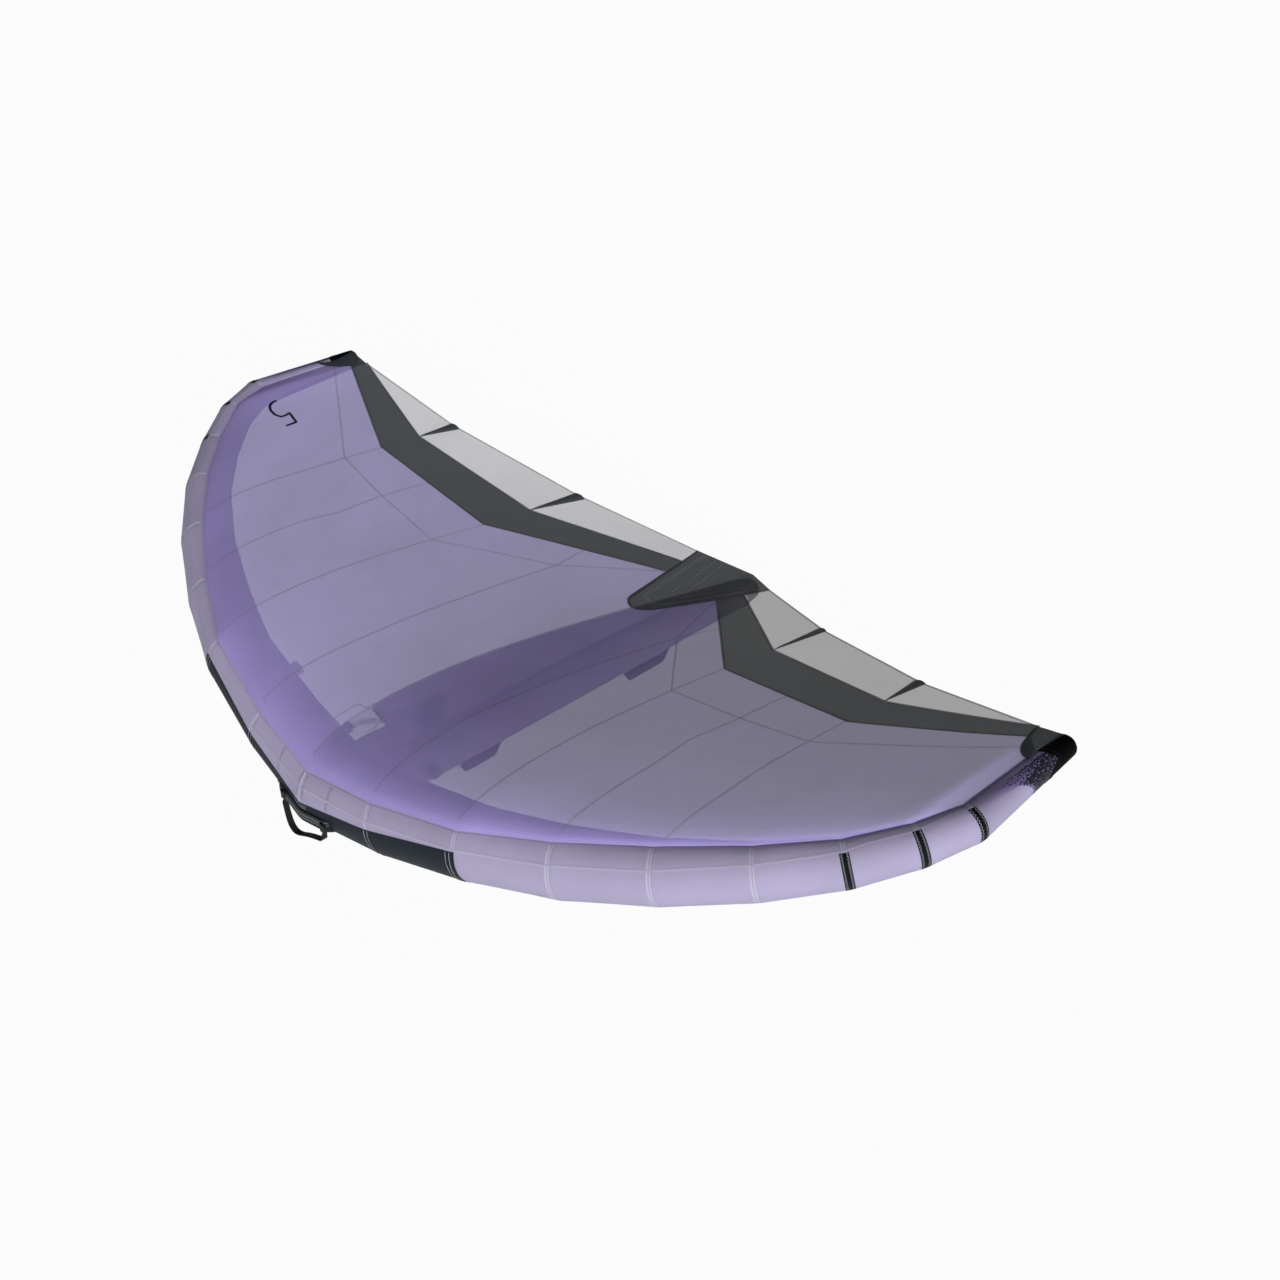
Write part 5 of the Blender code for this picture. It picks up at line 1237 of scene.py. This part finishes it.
def build_fin():
    """Upright panel from the strut up to the canopy's centre seam, with a window behind the tube."""
    def riser(low, high):
        return [between(low, high, row / 14) for row in range(15)]

    feet = [(-1.800, -1.800, 0.199), (-1.770, -1.770, 0.201), (-1.740, -1.740, 0.199), (-1.710, -1.710, 0.197),
            (-1.685, -1.685, 0.195), (-1.668, -1.664, 0.192), (-1.662, -1.656, 0.192), (-1.658, -1.654, 0.197),
            (-1.654, -1.662, 0.208), (-1.650, -1.676, 0.227), (-1.646, -1.692, 0.246), (-1.642, -1.708, 0.264),
            (-1.638, -1.720, 0.278), (-1.634, -1.726, 0.290)]
    grid = []
    for low_y, high_y, high in feet:
        low = Vector((0.0, low_y, fin_low(low_y)))
        grid.append(riser(low, Vector((0.0, high_y, max(high, low.z + 0.002)))))
    for low_y, high_y in zip(spread(-1.630, -1.602, 8), spread(-1.722, -1.640, 8)):
        high = canopy_point(0.0, high_y).z - CLOTH_GAP
        grid.append(riser(Vector((0.0, low_y, fin_low(low_y))), Vector((0.0, high_y, high))))
    for y in spread(-1.595, -0.0815, 60):
        high = canopy_point(0.0, y).z - CLOTH_GAP
        grid.append(riser(Vector((0.0, y, min(fin_low(y), high - CLOTH_GAP))), Vector((0.0, y, high))))
    fin = make_grid("fin_panel_skin", grid, TUBE, "fin_panel", slot="lavender_cloth")
    build_disc()


def build_disc():
    """Round size patch on the fin's right side, with a plain numeral."""
    centre = Vector((1.0 * MM, -1.510, 0.157))
    verts, faces, uvs = [centre], [], [(0.0, 0.0)]
    for ring, size in enumerate((0.02, 0.04, 0.06)):
        for step in range(48):
            turn = math.tau * step / 48
            v, w = size * math.cos(turn), size * math.sin(turn)
            verts.append(centre + Vector((0.0, v, w)))
            uvs.append((v, w))
            here, after = 1 + ring * 48 + step, 1 + ring * 48 + (step + 1) % 48
            faces.append((0, here, after) if ring == 0 else (here - 48, here, after, after - 48))
    disc = make("fin_size_patch", [(verts, faces, uvs)], DISC)
    line = [(0.014, 0.012), (0.014, -0.004), (0.001, -0.006), (0.003, 0.004), (-0.001, 0.011), (-0.009, 0.012),
            (-0.014, 0.005), (-0.013, -0.006)]
    spots = [(centre + Vector((1.0 * MM, v, w)), Vector((1.0, 0.0, 0.0))) for v, w in line]
    return [disc, make("fin_size_numeral", [ribbon_part(spots, 0.0045)], NUMERAL)]


# Handles

TAB_LEFT = -0.088
TAB_RIGHT = 0.124


def hinge_line():
    """Middle of the nose loop's hinge, and the height of the tabs' lower ends."""
    top = (0.4 + 1.5 + 0.4 + 5.0) * MM
    station = 0.105 / JOINTS[1].x
    high, low = [tube_point(station, turn, top) for turn in (-54.0, -72.0)]
    tab_low = low.z - SEAT_GAP
    return Vector((0.0, min(high.y, low.y) - SEAT_GAP - 4.5 * MM, tab_low - 0.010 - SEAT_GAP)), tab_low


def pad_rise(station, turn):
    along = max(min(1.0, (0.40 - abs(station)) / 0.06), 0.0) ** 0.5
    s = (turn + 70.5) / 13.0
    return 1.6 * MM + (2.2 + 13.0 * along) * MM * max(1.0 - abs(s) ** 3.0, 0.0) ** 0.6


def build_nose_handle():
    grid = [[skin_point(s, t, pad_rise(s, t)) for t in spread(-83.5, -57.5, 19)] for s in spread(-0.40, 0.40, 33)]
    pad = make_grid("nose_handle_pad_skin", grid, PAD, "nose_handle_pad")
    solid = pad.modifiers.new("back", 'SOLIDIFY')
    solid.thickness = 1.2 * MM
    solid.offset = -1.0
    apply_modifiers(pad)
    grid = [[skin_point(s, t, pad_rise(s, t) + 0.9 * MM) for t in spread(-65.5, -58.0, 9)]
            for s in spread(-0.44, 0.43, 41)]
    band = make_grid("nose_handle_band", grid, STRAP)
    grid = [[skin_point(s, t, 1.7 * MM) for t in spread(-55.5, -47.5, 5)] for s in spread(-0.10, 0.10, 9)]
    stitch = make("nose_handle_stitching", [grid_part(grid, 0.020)], BOX_STITCH)
    pivot, tab_low = hinge_line()
    for name, x in (("left", TAB_LEFT), ("right", TAB_RIGHT)):
        path = [Vector((x, pivot.y, tab_low + z)) for z in (0.0, 0.006, 0.012, 0.020, 0.026, 0.030)]
        tab = make("nose_handle_tab_skin_" + name, [strap_part(path, (1.0, 0.0, 0.0), 0.014, 0.009)], LOOP_WEB,
                   "nose_handle_tab_" + name)
        weld(tab, 0.001 * MM)
    radius = 0.010
    fall = [(TAB_LEFT, 0.0), (-0.085, -0.022), (-0.081, -0.050), (-0.074, -0.076), (-0.062, -0.092),
            (-0.044, -0.097), (-0.018, -0.089), (0.020, -0.068), (0.056, -0.050), (0.088, -0.036),
            (0.112, -0.026), (0.123, -0.014), (TAB_RIGHT, 0.0)]
    middle = smooth_path([pivot + Vector((x, 0.0, z)) for x, z in fall])
    shares = (0.97, 0.8, 0.45)
    ends = [[pivot + Vector((x, 0.0, radius * share)) for share in shares] for x in (TAB_LEFT, TAB_RIGHT)]
    end_widths = [radius * math.sqrt(1.0 - share * share) for share in shares]
    last = len(middle) - 1
    widths = end_widths + [radius + 0.001 * math.sin(math.pi * index / last) ** 0.5 for index in range(last + 1)]
    path = ends[0] + middle + ends[1][::-1]
    loop = make("nose_handle_loop_skin", [strap_part(path, (0.0, 1.0, 0.0), widths + end_widths[::-1], 0.0026)],
                LOOP_WEB, "nose_handle_loop", body="nose_loop")
    weld(loop, 0.001 * MM)


def strap_foot(y):
    return Vector((0.0, y, strut_low(y) - (0.3 + 1.5 + 0.3 + 1.25) * MM))


def build_handle_patch(name, end, centre):
    """Sewn patch under a strap's foot, with a box of stitches."""
    grid = []
    for t in spread(-1.0, 1.0, 15):
        corner = math.sqrt(max(1.0 - max(abs(t) - 0.72, 0.0) ** 2 / 0.28 ** 2, 0.0))
        wide = 0.022 * (0.78 + 0.22 * corner)
        y = centre + t * 0.028
        radius = strut_at(y)[1]
        grid.append([strut_point(y, -90.0 + math.degrees(x / radius), PATCH_LIFT) for x in spread(-wide, wide, 11)])
    patch = make_grid("%s_handle_patch_%s_skin" % (name, end), grid, BLACK, "%s_handle_patch_%s" % (name, end))
    half_long, half_wide = 0.022, 0.017
    box = [(centre + s * half_long, t * half_wide) for s, t in ((-1, -1), (1, -1), (1, 1), (-1, 1), (-1, -1))]
    spots = []
    for y, x in along_line(box, 0.006):
        turn = -90.0 + math.degrees(x / strut_at(y)[1])
        spots.append((strut_point(y, turn, 1.6 * MM), Vector((0.0, 0.0, -1.0))))
    line = make("%s_handle_stitch_%s" % (name, end), [ribbon_part(spots, 0.005)], SCUFF_STITCH)


def build_strut_handles():
    for name, share, length, flat, area in (("front", 0.710, 0.130, (0.0265, 0.361), 0.00952),
                                            ("rear", 0.301, 0.170, (0.0265, 0.401), 0.01057)):
        middle = -CHORD * share
        half = length * 0.5
        depth = strut_low(middle) - 0.042 - 0.017
        inner = half + 0.040
        outer = inner + 0.045
        feet = [strap_foot(middle + side * reach)
                for side, reach in ((-1, outer), (-1, inner + 0.02), (-1, inner), (1, inner), (1, inner + 0.02),
                                    (1, outer))]
        bar = [Vector((0.0, middle + reach, depth)) for reach in (-half - 0.004, 0.0, half + 0.004)]
        path = [feet[0], between(feet[0], feet[1], 0.5), feet[1], feet[2], between(feet[2], bar[0], 0.3),
                between(feet[2], bar[0], 0.7)] + bar
        path += [between(bar[2], feet[3], 0.3), between(bar[2], feet[3], 0.7)] + feet[3:]
        strap = make(name + "_handle_strap_skin", [strap_part(path, (1.0, 0.0, 0.0), 0.0125, 0.0024)], WEB,
                     name + "_handle_strap")
        weld(strap, 0.001 * MM)
        shape = ((-1.0, 0.62), (-0.985, 0.82), (-0.95, 0.95), (-0.88, 1.0), (-0.5, 1.02), (0.0, 1.03),
                 (0.5, 1.02), (0.88, 1.0), (0.95, 0.95), (0.985, 0.82), (1.0, 0.62))
        line = [Vector((0.0, middle + s * half, depth)) for s, _ in shape]
        grip = make(name + "_handle_grip_skin", [tube_part(line, [0.0165 * size for _, size in shape], 28)], GRIP,
                    name + "_handle_grip")
        weld(grip, 0.001 * MM)
        build_handle_patch(name, "fore", middle - (inner + 0.0225))
        build_handle_patch(name, "aft", middle + (inner + 0.0225))


# Zips

def teeth_parts(spots):
    """Small interlocking teeth along points with their normals, across and onward vectors."""
    parts = []
    for index, (spot, normal, onward) in enumerate(spots):
        across = onward.cross(normal)
        low = spot + across * (0.0008 if index % 2 else -0.0008)
        a = across * 0.0021
        b = onward * 0.0011
        n = normal * 0.0013
        signs = ((-1, -1), (1, -1), (1, 1), (-1, 1))
        verts = [low + a * s + b * t for s, t in signs]
        verts += [low + a * (0.7 * s) + b * (0.7 * t) + n for s, t in signs]
        faces = [(0, 1, 5, 4), (1, 2, 6, 5), (2, 3, 7, 6), (3, 0, 4, 7), (4, 5, 6, 7)]
        parts.append((verts, faces, [(0.0, 0.0)] * 8))
    return parts


def build_zips():
    tape_lift, teeth_lift = 0.7 * MM, 0.8 * MM
    grid = [[skin_point(s, t, tape_lift) for t in spread(163.0, 179.0, 9)] for s in spread(0.36, 0.95, 21)]
    tape = make_grid("leading_edge_zip_tape", grid, BLACK, "leading_edge_zip")
    low, high, turn = 0.37, 0.94, 171.0
    count = int((skin_point(high, turn, teeth_lift) - skin_point(low, turn, teeth_lift)).length / TOOTH_PITCH)
    spots = []
    for index in range(count):
        s = between(low, high, index / count)
        spot = tube_point(s, turn, teeth_lift)
        onward = (tube_point(s + 0.01, turn) - tube_point(s - 0.01, turn)).normalized()
        spots.append((spot, tube_normal(spot, s, turn), onward))
    teeth = make("leading_edge_zip_teeth", teeth_parts(spots), TEETH)
    ys = spread(-CHORD * 0.690, -CHORD * 0.500, 31)
    turn, half = 225.0, math.degrees(0.013 / 0.085)
    grid = [[strut_point(y, t, tape_lift) for t in spread(turn + half, turn - half, 7)] for y in ys]
    tape = make_grid("strut_zip_tape", grid, BLACK, "strut_zip")
    count = int((ys[-1] - ys[0]) / TOOTH_PITCH)
    normal = strut_ring(0.0, 0.0, 1.0, [turn])[0]
    spots = [(strut_point(between(ys[0], ys[-1], index / count), turn, teeth_lift), normal, Vector((0.0, 1.0, 0.0)))
             for index in range(count)]
    teeth = make("strut_zip_teeth", teeth_parts(spots), TEETH)


# Stage, light and camera

def seen_mix(tree, rays, share, plain, bright, out):
    """Show the bright shader to the named rays, to the share given, and the plain one to the rest."""
    path = tree.nodes.new("ShaderNodeLightPath")
    factor = path.outputs[rays[0]]
    for operation, value in [('MAXIMUM', path.outputs[name]) for name in rays[1:]] + [('MULTIPLY', share)]:
        made = tree.nodes.new("ShaderNodeMath")
        made.operation = operation
        tree.links.new(factor, made.inputs[0])
        if isinstance(value, float):
            made.inputs[1].default_value = value
        else:
            tree.links.new(value, made.inputs[1])
        factor = made.outputs[0]
    mix = tree.nodes.new("ShaderNodeMixShader")
    for source, target in ((factor, mix.inputs[0]), (plain.outputs[0], mix.inputs[1]),
                           (bright.outputs[0], mix.inputs[2]), (mix.outputs[0], out.inputs["Surface"])):
        tree.links.new(source, target)


def shader(tree, kind, grey, strength=None):
    made = tree.nodes.new(kind)
    made.inputs["Color"].default_value = (grey, grey, grey, 1.0)
    if strength is not None:
        made.inputs["Strength"].default_value = strength
    return made


def build_stage():
    mesh = bpy.data.meshes.new("floor")
    corners = [(-FLOOR_HALF, -FLOOR_HALF), (FLOOR_HALF, -FLOOR_HALF), (FLOOR_HALF, FLOOR_HALF),
               (-FLOOR_HALF, FLOOR_HALF)]
    mesh.from_pydata([(x, y, -0.001) for x, y in corners], [], [(0, 1, 2, 3)])
    floor = link_object("floor", mesh)
    material = bpy.data.materials.new("floor")
    material.use_nodes = True
    tree = material.node_tree
    tree.nodes.clear()
    seen_mix(tree, ("Is Camera Ray", "Is Glossy Ray", "Is Transmission Ray"), 0.95,
             shader(tree, "ShaderNodeBsdfDiffuse", 0.95), shader(tree, "ShaderNodeEmission", 1.0),
             tree.nodes.new("ShaderNodeOutputMaterial"))
    mesh.materials.append(material)


def build_camera():
    data = bpy.data.cameras.new("camera")
    data.lens = 43.54
    data.sensor_width = 36.0
    data.sensor_fit = 'HORIZONTAL'
    data.clip_end = 200.0
    camera = link_object("camera", data)
    back = Vector((0.59053853, -0.56040014, 0.58070296))
    right = Vector((0.68835458, 0.72537437, 0.0))
    up = Vector((-0.42122704, 0.39972954, 0.81411552))
    turn = Matrix((right, up, back)).transposed()
    camera.matrix_world = Matrix.Translation(Vector((3.281, -2.693, 3.375))) @ turn.to_4x4()
    bpy.context.scene.camera = camera


def build_lights():
    world = bpy.data.worlds.new("studio")
    world.use_nodes = True
    tree = world.node_tree
    tree.nodes.clear()
    seen_mix(tree, ("Is Camera Ray", "Is Transmission Ray"), 1.0, shader(tree, "ShaderNodeBackground", 1.0, 0.13),
             shader(tree, "ShaderNodeBackground", 1.0, 1.0), tree.nodes.new("ShaderNodeOutputWorld"))
    bpy.context.scene.world = world
    toward = Vector((0.80, -0.55, 0.20)).normalized()
    for name, energy, shadow in (("key", 2.4, True), ("fill", 1.6, False)):
        data = bpy.data.lights.new(name, 'SUN')
        data.energy = energy
        data.angle = math.radians(40.0)
        data.use_shadow = shadow
        link_object(name, data).rotation_euler = toward.to_track_quat('Z', 'Y').to_euler()
    bpy.context.scene.view_settings.view_transform = 'Standard'


for build in (build_casing, build_strut, build_bladders, build_tube_seams, build_scuff, build_tip_caps,
              build_canopy, build_bands, build_patch, build_pockets, build_tip_patches, build_end_cap, build_fin,
              build_nose_handle, build_strut_handles, build_zips, build_hose, build_spring, dress_solids,
              build_stage, build_camera, build_lights):
    build()
